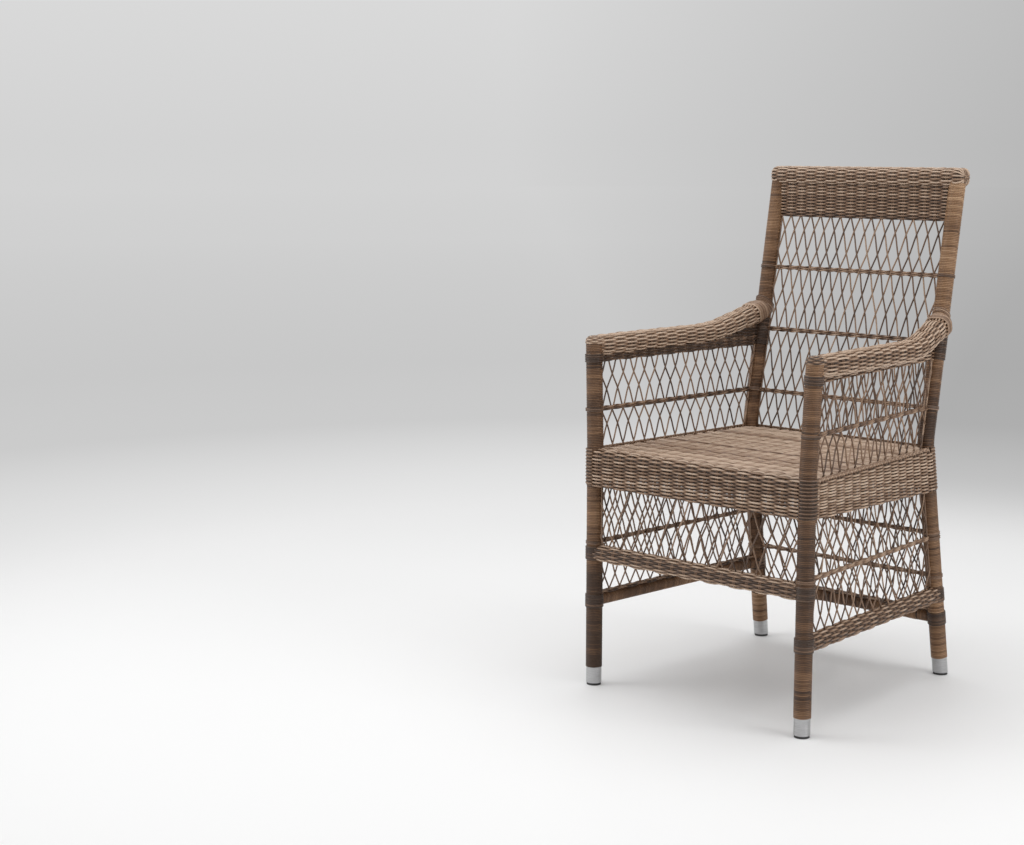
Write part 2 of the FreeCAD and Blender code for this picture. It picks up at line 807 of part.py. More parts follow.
def make_lattices():
    """Open lattice of the back, the arms and the four sides under the seat."""
    head_low = head_roll_low_z - head_band_height - fit_gap
    base = seat_height + fit_gap
    stacked_panel(
        "back_lattice",
        "back_twined_rows",
        lambda z: back_leg_at(-1, z),
        lambda z: back_leg_at(1, z),
        (base, base),
        (head_low, head_low),
        rows_down(head_low, base, back_row_first_drop, back_row_pitch),
        back_diamond_width,
        back_crossing_climb,
    )
    under_arm = arm_height - arm_roll_height - arm_band_height - fit_gap
    arm_row_z = (base + under_arm) / 2 - arm_row_below_middle
    rail_top = rail_wrap_r + fit_gap
    side_low = (side_rail_front_z + rail_top, side_rail_back_z + rail_top)
    side_high = (apron_low_front, apron_low_back)
    for side_name, side in SIDES.items():
        ends = (
            lambda z, side=side: front_leg_at(side, z),
            lambda z, side=side: back_leg_at(side, z),
        )
        stacked_panel(
            f"{side_name}_arm_lattice",
            f"{side_name}_arm_twined_row",
            *arm_panel_lines(side),
            (base, base),
            (under_arm, under_arm),
            [arm_row_z],
            side_diamond_width,
            side_crossing_climb,
        )
        stacked_panel(
            f"{side_name}_skirt_lattice",
            f"{side_name}_skirt_twined_row",
            *ends,
            side_low,
            side_high,
            [apron_low_front - side_skirt_row_drop],
            side_diamond_width,
            side_crossing_climb,
        )
    skirt_rows = rows_down(apron_low_back, back_rail_z + rail_top, back_skirt_row_pitch, back_skirt_row_pitch)
    stacked_panel(
        "back_skirt_lattice",
        "back_skirt_twined_rows",
        lambda z: back_leg_at(-1, z),
        lambda z: back_leg_at(1, z),
        (back_rail_z + rail_top, back_rail_z + rail_top),
        (apron_low_back, apron_low_back),
        skirt_rows,
        skirt_diamond_width,
        skirt_crossing_climb,
    )
    stacked_panel(
        "front_skirt_lattice",
        None,
        lambda z: front_leg_at(-1, z),
        lambda z: front_leg_at(1, z),
        (front_rail_z + rail_top, front_rail_z + rail_top),
        (apron_low_front, apron_low_front),
        [],
        skirt_diamond_width,
        skirt_crossing_climb,
    )


def main():
    make_legs()
    make_rails()
    make_rail_wraps()
    make_aprons()
    make_deck()
    make_arms()
    make_head()
    make_lattices()
    os.makedirs("parts", exist_ok=True)
    for name, shape in parts.items():
        shape.exportStep(f"parts/{name}.step")
        sound = all(solid.isValid() for solid in shape.Solids)
        print(f"{name}: {len(shape.Solids)} solids, {shape.Volume:.0f} mm3, valid {sound}")
    print(f"{len(parts)} nodes")


main()
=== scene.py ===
"""Woven dining armchair, dressed with its real strands: wound legs and rails, woven bands and rolls,
a close woven seat, crossing lattice strands and twined rows. Metres, in the frame of the solids."""

import json
import math
import zlib
from functools import partial

import bpy
import numpy as np
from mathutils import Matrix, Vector


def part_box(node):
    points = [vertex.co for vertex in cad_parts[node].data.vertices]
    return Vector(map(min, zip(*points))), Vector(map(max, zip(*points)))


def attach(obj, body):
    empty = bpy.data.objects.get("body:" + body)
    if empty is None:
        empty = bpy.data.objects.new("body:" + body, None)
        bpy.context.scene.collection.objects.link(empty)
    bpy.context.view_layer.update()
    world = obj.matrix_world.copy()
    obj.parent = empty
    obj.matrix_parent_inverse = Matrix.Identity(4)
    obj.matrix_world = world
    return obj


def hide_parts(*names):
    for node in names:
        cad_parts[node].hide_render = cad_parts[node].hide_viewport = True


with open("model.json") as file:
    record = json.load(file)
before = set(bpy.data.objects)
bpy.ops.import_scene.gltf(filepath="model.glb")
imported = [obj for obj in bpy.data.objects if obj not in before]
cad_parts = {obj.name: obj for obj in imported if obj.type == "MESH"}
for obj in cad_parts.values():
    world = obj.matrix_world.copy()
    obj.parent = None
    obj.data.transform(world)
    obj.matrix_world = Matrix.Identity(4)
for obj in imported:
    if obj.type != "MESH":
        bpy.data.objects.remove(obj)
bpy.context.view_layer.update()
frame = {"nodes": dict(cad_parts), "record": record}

FULL_TURN = 2 * math.pi

# Strand sizes, the spacing of rows and of a winding's turns, and the side on which a winding starts
STRAND_R = 0.00172
WEAVER_R = 0.0020
WEAVER_SQUEEZE = 0.14
UPRIGHT_R = 0.0014
UPRIGHT_APART = 0.0016
LATTICE_R = 0.0015
TWINE_R = 0.0018
PLAIT_R = 0.0015
ROW_PITCH = 0.0031
WIND_DEPTH = 0.0013
WIND_START = np.array((0.9, 0.1, 0.4))

# Sides of a strand's mesh and steps along it
TUBE_SIDES = 6
WIND_SIDES = 28
RAIL_WIND_SIDES = 24
WIND_STEPS = 6
ROW_STEPS = 9
DECK_ROW_STEPS = 6
LEAST_STEPS = 8
LOOP_STEPS = 32
RING_STEPS = 48
ARM_RING_STEPS = 44
CAP_STEPS = 8
CORNER_STEPS = 12
EDGE_STEPS = 12
PLAIT_STEPS = 14
TWINE_STEPS = 10
UPRIGHT_STEPS = 14
FRONT_UPRIGHT_STEPS = 30
DECK_UPRIGHT_STEPS = 60
BAND_UPRIGHT_STEPS = 10

# How far a weaver swings in front of and behind the uprights, how flat its waves are and how they vary,
# and how deep its middle line lies in a roll
APRON_SWING = 0.0026
BAND_SWING = 0.0022
ROLL_SWING = 0.0020
DECK_SWING = 0.0015
RAIL_SWING = 0.0016
WAVE_POWER = 0.65
SWING_RANGE = (0.88, 1.12)
WIDTH_RANGE = (0.95, 1.04)
ROLL_INSET = 0.0036

# How far the strands of a lattice, a twined row and a plait leave their line
LATTICE_SWING = 0.0013
LATTICE_JITTER = 0.0005
TWINE_SWING = 0.0022
TWINE_LIFT = 0.0014
PLAIT_LIFT = 0.0026
PLAIT_SWING = 0.0016
PLAIT_SPREAD = 0.0012
PLAIT_WAVE = 0.028

# Width of a lattice diamond, which is also the spacing of the uprights, and the climb between crossings
BACK_PITCH = 0.0230
SIDE_PITCH = 0.0286
SKIRT_PITCH = 0.0274
BACK_CLIMB = 0.036
SIDE_CLIMB = 0.033
SKIRT_CLIMB = 0.032

# Shade of the strand in each part as its mean, spread and the length over which it drifts
RAIL_WIND_TONE = (0.40, 0.22, 1.3)
LATTICE_TONE = (0.43, 0.34, 0.4)
TWINE_TONE = (0.42, 0.30, 0.3)
APRON_TONE = (0.32, 0.34, 0.5)
SIDE_APRON_TONE = (0.53, 0.38, 0.5)
LEFT_CORNER_TONE = (0.12, 0.15, 0.3)
RIGHT_CORNER_TONE = (0.34, 0.15, 0.3)
BACK_CORNER_TONE = (0.3, 0.2, 0.3)
DECK_TONE = (0.56, 0.28, 0.9)
DECK_BANDS = (0.0, 0.20, 0.020)
BORDER_TONE = (0.60, 0.30, 0.5)
RAIL_TONE = (0.26, 0.36, 0.4)
HEAD_TONE = (0.28, 0.32, 0.5)
HEAD_ROLL_TONE = (0.62, 0.34, 0.5)
ARM_TONE = (0.58, 0.36, 0.5)
BAND_TONE = (0.36, 0.34, 0.5)
BINDING_TONE = (0.62, 0.30, 0.8)
TONE_KNOTS = 4096

# Shade of the uprights, and what is added to a strand's shade: painted highlight where it stands out and
# painted shade where it lies deep or in a winding's groove, painted highlight on the nosing, random marks
# and differences from the next turn or strand, painted shade on every second turn of a binding, and darker
# rows laid round the legs, painted shade where rails and arm bands wrap them
UPRIGHT_SHADE = 0.36
PAINTED_CREST_SHADING = 0.46
PAINTED_CREST_LEVEL = 0.12
DECK_PAINTED_CREST_SHADING = 0.32
TWINE_PAINTED_CREST_SHADING = 0.45
TWINE_PAINTED_CREST_LEVEL = 0.6
NOSING_PAINTED_HIGHLIGHT = 0.16
LATTICE_DRIFT = 0.25
GROOVE_PAINTED_SHADE = 0.45
MARK_SHADE = -0.4
MARK_SHARE = 0.03
TURN_SPREAD = 0.09
TURN_PAINTED_SHADE = 0.22
TWINE_LOOP_SHADE = -0.12
RAIL_LOOP_PAINTED_SHADES = (-0.45, -0.15)
BAND_LOOP_PAINTED_SHADES = (-0.6, -0.4)

# Tone of each leg's strand, and the painted light and shade added to it at shares of the leg's length, from
# its foot up
LEG_STRETCHES = (0.1, 0.5, 0.85)
LEG_LOOKS = {
    "front_left": ((0.28, 0.14, 1.3), (0.02, -0.15, 0.26)),
    "front_right": ((0.17, 0.14, 1.3), (-0.16, 0.32, 0.14)),
    "back_left": ((0.54, 0.20, 1.3), (0.06, -0.42, 0.16)),
    "back_right": ((0.54, 0.20, 1.3), (0.0, -0.16, -0.03)),
}

# Steps along a tone's drift from one strand of a part to the next
LATTICE_STEP = 0.9
ROLL_STEP = 0.5
DECK_STEP = 0.45
CORNER_STEP = 0.11
CAP_STEP = 0.12
RAIL_LOOP_STEP = 0.3
RAIL_END_STEP = 50
BAND_LOOP_STEP = 0.2
BINDING_STEP = 0.7
END_STEP = 100
PLAIT_STEP = 5
TWINE_STEP = 7
TWINE_PAIR_STEP = 3
TWINE_RISE_STEP = 9
TWINE_LOOP_STEP = 2.79

# Where the strands of a part start along a tone's drift
WEAVE_START = 3
LATTICE_STARTS = {1: 100, -1: 20}
LATTICE_FAR = 40
EDGE_START = 7
TWINE_START = 20
TWINE_LOOP_START = 30
PLAIT_START = 9
RAIL_LOOP_START = 40
BAND_LOOP_START = 70
FAN_START = 4
STRAP_START = 9

# How far strands run into a leg, stop short of it or tuck under a roll, and what a loop adds to its radius
LEG_BITE = 0.002
TUCK = 0.004
HEAD_BITE = 0.003
SEAT_MARGIN = 0.006
RAIL_MARGIN = 0.008
PLAIT_MARGIN = 0.010
BAND_UPRIGHT_TUCK = 0.006
TWINE_LOOP = -0.0002
BAND_LOOP = 0.0002
RAIL_LOOP = 0.0003
STRAP_LOOP = 0.0008

# Weavers round a corner leg: what the outer and the inner ones add to radius and shade, and their angles.
# The shade added is painted highlight on the outer ones and painted shade on the inner ones
CORNER_OVER = (0.0010, 0.16)
CORNER_UNDER = (-0.0004, -0.22)
CORNER_TURN = (-0.62 * math.pi, 0.12 * math.pi)

# Sizes that the boxes of the solids don't give
FIT = 0.0003
ROW_GAP = 0.03
ARM_TUBE_R = 0.010
ARM_BEND = 0.340
ARM_BOW = 0.012
ARM_RISE = 0.040
ARM_TAPER = 0.075
ARM_INNER = 0.018
ARM_OUTER = 0.028
ARM_CORNER = 0.015
ARM_ROOT = 0.012
ARM_CAP_ROUND = 0.0095
# Number of waves of painted highlight and shade round each ring of an arm cap
ARM_CAP_PAINTED_WAVES = 4
ARM_BEND_REACH = 0.044
BINDING = 0.020
COLLAR_TURNS = 6
FAN_TURNS = 13
STRAP_TURNS = 4
STRAP_RISE = 0.005
STRAP_TILT = 0.010
FRONT_BEND_REACH = 0.003
BACK_BEND_REACH = 0.025
APRON_HALF = 0.003
BORDER = 0.009
COURSE = 0.036
COURSE_FLANK = 0.007
COURSE_RISE = 0.002
RAIL_R = 0.0115
RAIL_WEAVE_ANGLE = 185
RAIL_WEAVE_LIFT = 26
RAIL_WEAVE_ROWS = 12
RAIL_LOOPS = 8
NOSING_R = 0.013
HEAD_CORNER = 0.016
HEAD_ROUND = 0.012
HEAD_FORWARD = 0.010

# Colour of the strand from its darkest shade to its palest, in the weave and in the wound legs and rails
WEAVE_COLOURS = [
    (0.0, (0.050, 0.027, 0.016)),
    (0.35, (0.165, 0.094, 0.056)),
    (0.65, (0.300, 0.188, 0.119)),
    (1.0, (0.540, 0.398, 0.292)),
]
WINDING_COLOURS = [
    (0.0, (0.050, 0.025, 0.013)),
    (0.35, (0.162, 0.083, 0.041)),
    (0.65, (0.302, 0.172, 0.090)),
    (1.0, (0.480, 0.310, 0.185)),
]

# Fine grain and slow patches of the strand: their scale and how much shade they add
GRAIN_SCALE = 900.0
PATCH_SCALE = 60.0
GRAIN_SHADE = 0.22
PATCH_SHADE = 0.3

# Camera: its angles, lens and place, which is measured from the front legs
HEADING = math.radians(42.90)
PITCH = math.radians(8.559)
LENS = 65.53
SENSOR = 36.0
CAMERA_X = 1.9675
CAMERA_BACK = 2.5954
CAMERA_Z = 1.0091

# Floor: its reach, its grey at distances from the chair, which beyond the near floor is painted light
# falloff, and where it passes into the backdrop
FLOOR_R = 40.0
FLOOR_STEPS = 96
FLOOR_ROUGHNESS = 0.55
FLOOR_BLEND = (1.3, 2.4)
FLOOR_GREYS = [
    (0.8, 0.90),
    (1.8, 0.84),
    (2.3, 0.755),
    (3.4, 0.60),
    (5.2, 0.578),
    (8.6, 0.597),
    (16.0, 0.63),
    (36.0, 0.65),
]

# Backdrop: its grey by height, and how its brightness falls to one side, which is painted light falloff
BACKDROP_GREYS = [(0.0, 0.650), (0.075, 0.695)]
FALL_REACH = 0.30
FALL_LEAST = 0.71

# Softboxes as place, aim, size and watts, and the strength of the light from all round
SOFTBOXES = {
    "overhead": ((-0.4, -0.3, 3.4), (0, 0, 0.4), (5.0, 5.0), 88.0),
    "left_fill": ((-2.6, -2.4, 1.9), (0, 0, 0.5), (1.6, 2.2), 29.0),
    "right_fill": ((3.0, 0.3, 1.7), (0, 0, 0.5), (1.6, 2.2), 34.0),
}
WORLD_STRENGTH = 0.47

# Names of the two wicker materials
WEAVE = "wicker_weave"
WINDING = "wicker_winding"

SIDES = {"left": 1, "right": -1}
UP = np.array((0.0, 0.0, 1.0))
ACROSS = np.array((1.0, 0.0, 0.0))
BACKWARD = np.array((0.0, 1.0, 0.0))


def box(node):
    """Lowest and highest corner of a solid as arrays."""
    low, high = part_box(node)
    return np.array(low), np.array(high)


def middle(node):
    """Centre of a solid's box."""
    low, high = box(node)
    return (low + high) / 2


# Places read from the solids
feet = {m["name"]: np.array(m["pos_m"]) for m in frame["record"]["mounts"]}
front_leg_low, front_leg_high = box("front_left_leg_wrap")
FRONT_X, FRONT_Y = feet["front_left_foot"][:2]
FERRULE_TOP, FRONT_TOP = front_leg_low[2], front_leg_high[2]
LEG_R = FRONT_X - front_leg_low[0]
FLARE = front_leg_high[0] - FRONT_X - LEG_R
SET_BACK = front_leg_high[1] - FRONT_Y - LEG_R
SEAT_Z = box("seat_borders")[1][2]
BACK_X = box("back_lattice")[1][0] + LEG_R + FIT
TOP_Y, TOP_Z = middle("top_rail_tube")[1:]
back_foot = feet["back_left_foot"]
seat_rail_y, seat_rail_z = middle("seat_back_rail_tube")[1:]
BACK_Y = back_foot[1] + (seat_rail_y - back_foot[1]) * SEAT_Z / seat_rail_z
HEAD_LOW = box("head_roll")[0][2]


def unit(v):
    """Vectors scaled to length one."""
    return v / np.maximum(np.linalg.norm(v, axis=-1, keepdims=True), 1e-12)


def lerp(a, b, t):
    """Point between two points."""
    return a + (b - a) * t


def square_to(v, axis):
    """Part of a vector that is square to an axis, at length one."""
    return unit(v - axis * np.sum(v * axis, -1, keepdims=True))


def turned(first, second, angle):
    """Directions at angles from a first one towards a second one square to it."""
    return first * np.cos(angle)[..., None] + second * np.sin(angle)[..., None]


def level_axes(start, end, side):
    """Level direction from start to end, and the one square to it that points out of the chair."""
    along = unit((end - start) * (1, 1, 0))
    return along, np.array((side * along[1], -side * along[0], 0))


def front_leg_at(side, z):
    """Point on a front leg's centre line, upright to the seat and flared above it."""
    share = max(z - SEAT_Z, 0) / (FRONT_TOP - SEAT_Z)
    return np.array((side * (FRONT_X + FLARE * share), FRONT_Y + SET_BACK * share, z))


def back_leg_at(side, z):
    """Point on a back leg's centre line."""
    if z <= SEAT_Z:
        x = lerp(back_foot[0], BACK_X, z / SEAT_Z)
        y = lerp(back_foot[1], BACK_Y, z / SEAT_Z)
    else:
        x = BACK_X
        y = lerp(BACK_Y, TOP_Y, (z - SEAT_Z) / (TOP_Z - SEAT_Z))
    return np.array((side * x, y, z))


def arm_front_at(side, z):
    """Front line of an arm's net and band, halfway out along the post's flare."""
    return np.array((side * (FRONT_X + FLARE / 2), front_leg_at(side, z)[1], z))


def rounded_line(points, bend_reach, steps=14):
    """Polyline through points, with its corners eased over a reach to each side."""
    line = [points[0]]
    for before, corner, after in zip(points, points[1:], points[2:]):
        first = corner + unit(before - corner) * bend_reach
        last = corner + unit(after - corner) * bend_reach
        for t in np.linspace(0, 1, steps):
            line.append(lerp(lerp(first, corner, t), lerp(corner, last, t), t))
    line.append(points[-1])
    return np.array(line)


class Line:
    """Curve that can be asked for its point and direction at any distance along it."""

    def __init__(self, points):
        self.points = np.asarray(points, float)
        steps = np.linalg.norm(np.diff(self.points, axis=0), axis=1)
        self.at = np.concatenate(([0.0], np.cumsum(steps)))
        self.length = self.at[-1]

    def point(self, s):
        s = np.clip(s, 0, self.length)
        return np.stack([np.interp(s, self.at, column) for column in self.points.T], -1)

    def direction(self, s, reach=0.004):
        return unit(self.point(s + reach) - self.point(s - reach))


class Tone:
    """Slow change of shade along a strand, from 0 (dark) to 1 (pale), the same on every run."""

    def __init__(self, name, mean, spread, reach):
        rng = np.random.default_rng(zlib.crc32(name.encode()))
        self.knots = mean + spread * (rng.random(TONE_KNOTS) - 0.5) * 2
        self.reach = reach

    def __call__(self, length):
        place = np.asarray(length) / self.reach
        index = np.floor(place).astype(int)
        t = place - index
        t = t * t * (3 - 2 * t)
        return lerp(self.knots[index % TONE_KNOTS], self.knots[(index + 1) % TONE_KNOTS], t)


def ring_quads(rows, count, sides, climb=0):
    """Quads between a tube's rings of points. In a winding each ring closes on one a climb later."""
    k = np.arange(rows)[:, None]
    j = np.arange(sides)[None, :]
    wrap = np.where(j == sides - 1, climb, 0)
    j_next = (j + 1) % sides
    corners = [(k, j), (k + wrap, j_next), (k + 1 + wrap, j_next), (k + 1, j)]
    quads = [np.broadcast_to(ring % count * sides + place, (rows, sides)) for ring, place in corners]
    return np.stack(quads, -1).reshape(-1, 4)


def add_object(name, data):
    """New object in the scene."""
    added = bpy.data.objects.new(name, data)
    bpy.context.scene.collection.objects.link(added)
    return added


class Piece:
    """Collects strands and turns them into one mesh object."""

    def __init__(self, name, *nodes):
        self.name = name
        self.nodes = nodes
        self.points, self.quads, self.shades = [], [], []
        self.count = 0
        self.rng = np.random.default_rng(zlib.crc32(name.encode()))

    def grid(self, points, shade, quads):
        """Adds a mesh of quads, with a shade for each point."""
        self.points.append(points.reshape(-1, 3))
        self.shades.append(np.broadcast_to(shade, points.shape[:-1]).reshape(-1))
        self.quads.append(quads + self.count)
        self.count += len(self.points[-1])

    def tube(self, path, normal, radius, shade, closed=False):
        """Round strand along a path. normal keeps its section from turning."""
        sides = TUBE_SIDES
        if closed:
            tangent = unit(np.roll(path, -1, 0) - np.roll(path, 1, 0))
        else:
            tangent = unit(np.gradient(path, axis=0))
        normal = np.broadcast_to(normal, path.shape)
        n = square_to(normal, tangent)
        b = np.cross(tangent, n)
        around = turned(n[:, None], b[:, None], np.arange(sides) * FULL_TURN / sides)
        rings = path[:, None] + around * np.reshape(radius, (-1, 1, 1))
        count = len(path)
        quads = ring_quads(count if closed else count - 1, count, sides)
        if not closed:
            end = (count - 1) * sides
            caps = np.array([[i, i + 1, sides - 2 - i, sides - 1 - i] for i in range(sides // 2 - 1)])
            quads = np.concatenate((quads, caps[:, ::-1], caps + end))
        self.grid(rings, np.reshape(shade, (-1, 1)), quads)

    def wound(self, line, radius, tone, sides=WIND_SIDES, painted_shading=(0.0, 0.0, 0.0)):
        """Strand wound turn by turn round a line: a helical skin with a groove between the turns, which gets
        painted shade. What is added to its shade at the stretches of a leg is painted light and shade."""
        turns = int(line.length / ROW_PITCH) + 3
        k = np.arange(turns * WIND_STEPS + 1)
        theta = np.arange(sides) * FULL_TURN / sides
        turn = k[:, None] / WIND_STEPS + theta / FULL_TURN
        s = np.clip(ROW_PITCH * (turn - 1), 0, line.length)
        f = (k % WIND_STEPS) / WIND_STEPS
        groove = 1 - np.sqrt(1 - (2 * f - 1) ** 2)
        r = radius - WIND_DEPTH * groove
        tangent = line.direction(s)
        e1 = square_to(WIND_START, tangent)
        spoke = turned(e1, np.cross(tangent, e1), theta)
        points = line.point(s) + spoke * r[:, None, None]
        quads = ring_quads(len(k) - 1 - WIND_STEPS, len(k), sides, WIND_STEPS)
        wound = np.floor(k / WIND_STEPS)[:, None] + theta / FULL_TURN
        marks = np.where(self.rng.random(turns + 2) < MARK_SHARE, MARK_SHADE, 0.0)
        marks = marks + self.rng.normal(0, TURN_SPREAD, turns + 2)
        shade = tone(wound * FULL_TURN * radius) + marks[np.floor(wound).astype(int)]
        # Painted light and shade along a leg: darker or paler stretches that stand in for how light falls on
        # it
        shade = shade + np.interp(s / line.length, LEG_STRETCHES, painted_shading)
        # Painted shade in the groove between the turns
        self.grid(points, shade - GROOVE_PAINTED_SHADE * groove[:, None], quads)

    def woven_row(
        self, surface, u0, u1, v, row, pitch, swing, tone, start, lift=0.0, painted_crest_shading=PAINTED_CREST_SHADING, steps=ROW_STEPS
    ):
        """One weaver that passes in front of one upright and behind the next, paler where it stands out and
        darker where it lies behind: painted highlight and painted shade.
        """
        count = max(int((u1 - u0) / pitch * steps), LEAST_STEPS)
        u = np.linspace(u0, u1, count)
        point, normal = surface(u, np.full(count, v))
        wave = np.cos(math.pi * u / pitch + math.pi * row)
        wave = np.sign(wave) * np.abs(wave) ** WAVE_POWER
        swing = swing * self.rng.uniform(*SWING_RANGE)
        path = point + normal * (wave * swing)[:, None]
        # Painted highlight where the weaver stands out in front of an upright, painted shade where it lies
        # behind one
        shade = tone(start + (u - u0)) + lift + painted_crest_shading * (wave - PAINTED_CREST_LEVEL)
        radius = WEAVER_R * (1 - WEAVER_SQUEEZE * wave)
        self.tube(path, normal, radius * self.rng.uniform(*WIDTH_RANGE), shade)

    def uprights(self, surface, places, v):
        """Pairs of strands that the weavers cross."""
        for u in places:
            for side in (-UPRIGHT_APART, UPRIGHT_APART):
                point, normal = surface(np.full(len(v), u + side), v)
                self.tube(point, normal, UPRIGHT_R, UPRIGHT_SHADE)

    def make(self, look=WEAVE):
        """Builds the mesh object, which stands for its solids."""
        mesh = bpy.data.meshes.new(self.name)
        mesh.from_pydata(np.concatenate(self.points), [], np.concatenate(self.quads))
        mesh.shade_smooth()
        layer = mesh.attributes.new("shade", "FLOAT", "POINT")
        layer.data.foreach_set("value", np.concatenate(self.shades).astype(np.float32))
        mesh.materials.append(bpy.data.materials[look])
        piece = add_object(self.name, mesh)
        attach(piece, "root")
        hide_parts(*self.nodes)


def leg_axis(leg, z, reach=0.01):
    """Direction of a leg at a height."""
    return unit(leg(z + reach) - leg(z - reach))


def loop_round_leg(piece, leg, z, radius, shade, start=0.0, end=FULL_TURN):
    """Strand laid round a leg at one height. Angles count from +X towards +Y."""
    axis = leg_axis(leg, z)
    e1 = square_to(ACROSS, axis)
    closed = end - start == FULL_TURN
    angle = np.linspace(start, end, LOOP_STEPS + 1)[: LOOP_STEPS if closed else None]
    spoke = turned(e1, np.cross(axis, e1), angle)
    piece.tube(leg(z) + spoke * radius, spoke, STRAND_R, shade, closed=closed)


def make_legs():
    """Windings of the four legs, from their ferrules to their tops."""
    lines = {
        "front": (front_leg_at, FRONT_TOP, FRONT_BEND_REACH),
        "back": (back_leg_at, HEAD_LOW + LEG_R / 2, BACK_BEND_REACH),
    }
    for leg, (tone, painted_shading) in LEG_LOOKS.items():
        place, side_name = leg.split("_")
        leg_at, top, reach = lines[place]
        points = [leg_at(SIDES[side_name], z) for z in (FERRULE_TOP, SEAT_Z, top)]
        node = f"{leg}_leg_wrap"
        piece = Piece(f"{leg}_leg_winding", node)
        line = Line(rounded_line(points, reach))
        piece.wound(line, LEG_R, Tone(node, *tone), painted_shading=painted_shading)
        piece.make(WINDING)


def panel_frame(leg_a, leg_b, low, high, clear):
    """Origin, axes and flat corners of a panel between two legs."""
    run_low = unit((leg_b(low[1]) - leg_a(low[0])) * (1, 1, 0))
    run_high = unit((leg_b(high[1]) - leg_a(high[0])) * (1, 1, 0))
    corners = [
        leg_a(low[0]) + run_low * clear,
        leg_b(low[1]) - run_low * clear,
        leg_b(high[1]) - run_high * clear,
        leg_a(high[0]) + run_high * clear,
    ]
    normal = unit(np.cross(corners[1] - corners[0], corners[2] - corners[0]))
    rise = unit(np.cross(normal, run_low))
    origin = corners[0] - rise * (corners[0][2] / rise[2])
    flat = np.array([((c - origin) @ run_low, (c - origin) @ rise) for c in corners])
    return origin, run_low, rise, normal, flat


def is_inside(a, b, outline):
    """Which points are inside a convex outline, given anticlockwise."""
    inside = np.ones(len(a), bool)
    for (ax, ay), (bx, by) in zip(outline, np.roll(outline, -1, 0)):
        inside &= (bx - ax) * (b - ay) - (by - ay) * (a - ax) >= 0
    return inside


def crossing_levels(rows, climb, top):
    """Level of the crossings as a function of height: a whole number in every twined row."""
    heights = list(rows) or [top]
    levels = [0]
    for below, above in zip(heights, heights[1:]):
        levels.append(levels[-1] + max(round((above - below) / climb), 1))
    span = 40
    heights = [heights[0] - span * climb] + heights + [heights[-1] + span * climb]
    levels = [-span] + levels + [levels[-1] + span]
    return lambda z: np.interp(z, heights, levels)


def lattice(piece, leg_a, leg_b, low, high, rows, pitch, climb, tone):
    """Two crossing sets of leaning strands that pass over and under each other, and one along each leg."""
    level_at = crossing_levels(rows, climb, high[0])
    low = [z - TUCK for z in low]
    high = [z + TUCK for z in high]
    origin, across, rise, normal, flat = panel_frame(leg_a, leg_b, low, high, LEG_R - LEG_BITE)
    left, right = flat[:, 0].min(), flat[:, 0].max()
    b = np.arange(flat[:, 1].min(), flat[:, 1].max(), climb / ROW_STEPS)
    level = level_at(b * rise[2])
    count = int((right - left) / pitch + np.abs(level).max() / 2) + 3
    for sign in (1, -1):
        for index in range(-count, count + 1):
            start = (left + right) / 2 + (index + 0.5) * pitch + piece.rng.normal(0, LATTICE_JITTER)
            a = start + sign * pitch / 2 * level
            kept = np.flatnonzero(is_inside(a, b, flat))
            if len(kept) < 3:
                continue
            a, height = a[kept], b[kept]
            over = sign * LATTICE_SWING * np.cos(math.pi * level[kept])
            path = origin + a[:, None] * across + height[:, None] * rise + over[:, None] * normal
            place = index * LATTICE_STEP + LATTICE_STARTS[sign]
            drift = tone(place + height) - 0.5
            piece.tube(path, normal, LATTICE_R, tone(place + LATTICE_FAR) + LATTICE_DRIFT * drift)
    for leg, toward, ends in ((leg_a, across, (low[0], high[0])), (leg_b, -across, (low[1], high[1]))):
        path = [leg(z) + toward * (LEG_R + LATTICE_R / 2) for z in np.linspace(*ends, EDGE_STEPS)]
        piece.tube(np.array(path), normal, LATTICE_R, tone(EDGE_START))


def twined_row(piece, leg_a, leg_b, z, pitch, tone):
    """Two pairs of strands twisted round each other along a row, then laid round both legs."""
    start, end = leg_a(z), leg_b(z)
    run = unit(end - start)
    start, end = start + run * (LEG_R - LEG_BITE), end - run * (LEG_R - LEG_BITE)
    length = np.linalg.norm(end - start)
    normal = unit(np.cross(run, UP))
    rise = np.cross(normal, run)
    u = np.linspace(0, length, int(length / pitch * TWINE_STEPS))
    for strand in (0, 1):
        turn = math.pi * (u / pitch + strand)
        for pair in (-1, 1):
            lift = np.sin(turn) * TWINE_LIFT + pair * TWINE_R
            path = start + u[:, None] * run + lift[:, None] * rise
            path = path + np.cos(turn)[:, None] * TWINE_SWING * normal
            # Painted highlight where a strand stands out at the front or back, painted shade where the
            # strands cross
            painted_crest_shading = TWINE_PAINTED_CREST_SHADING * (np.abs(np.cos(turn)) - TWINE_PAINTED_CREST_LEVEL)
            first = strand * TWINE_STEP + pair * TWINE_PAIR_STEP + TWINE_START
            piece.tube(path, normal, TWINE_R, tone(u + first) + painted_crest_shading)
    for leg in (leg_a, leg_b):
        for row in (-0.5, 0.5):
            shade = tone(z * TWINE_RISE_STEP + row * TWINE_LOOP_STEP + TWINE_LOOP_START)
            loop_z = z + row * ROW_PITCH
            loop_round_leg(piece, leg, loop_z, LEG_R + TWINE_LOOP, shade + TWINE_LOOP_SHADE)


def row_heights(node):
    """Middle heights of the separate rows in a solid."""
    z = np.sort([v.co.z for v in frame["nodes"][node].data.vertices])
    rows = np.split(z, np.flatnonzero(np.diff(z) > ROW_GAP) + 1)
    return [(row[0] + row[-1]) / 2 for row in rows]


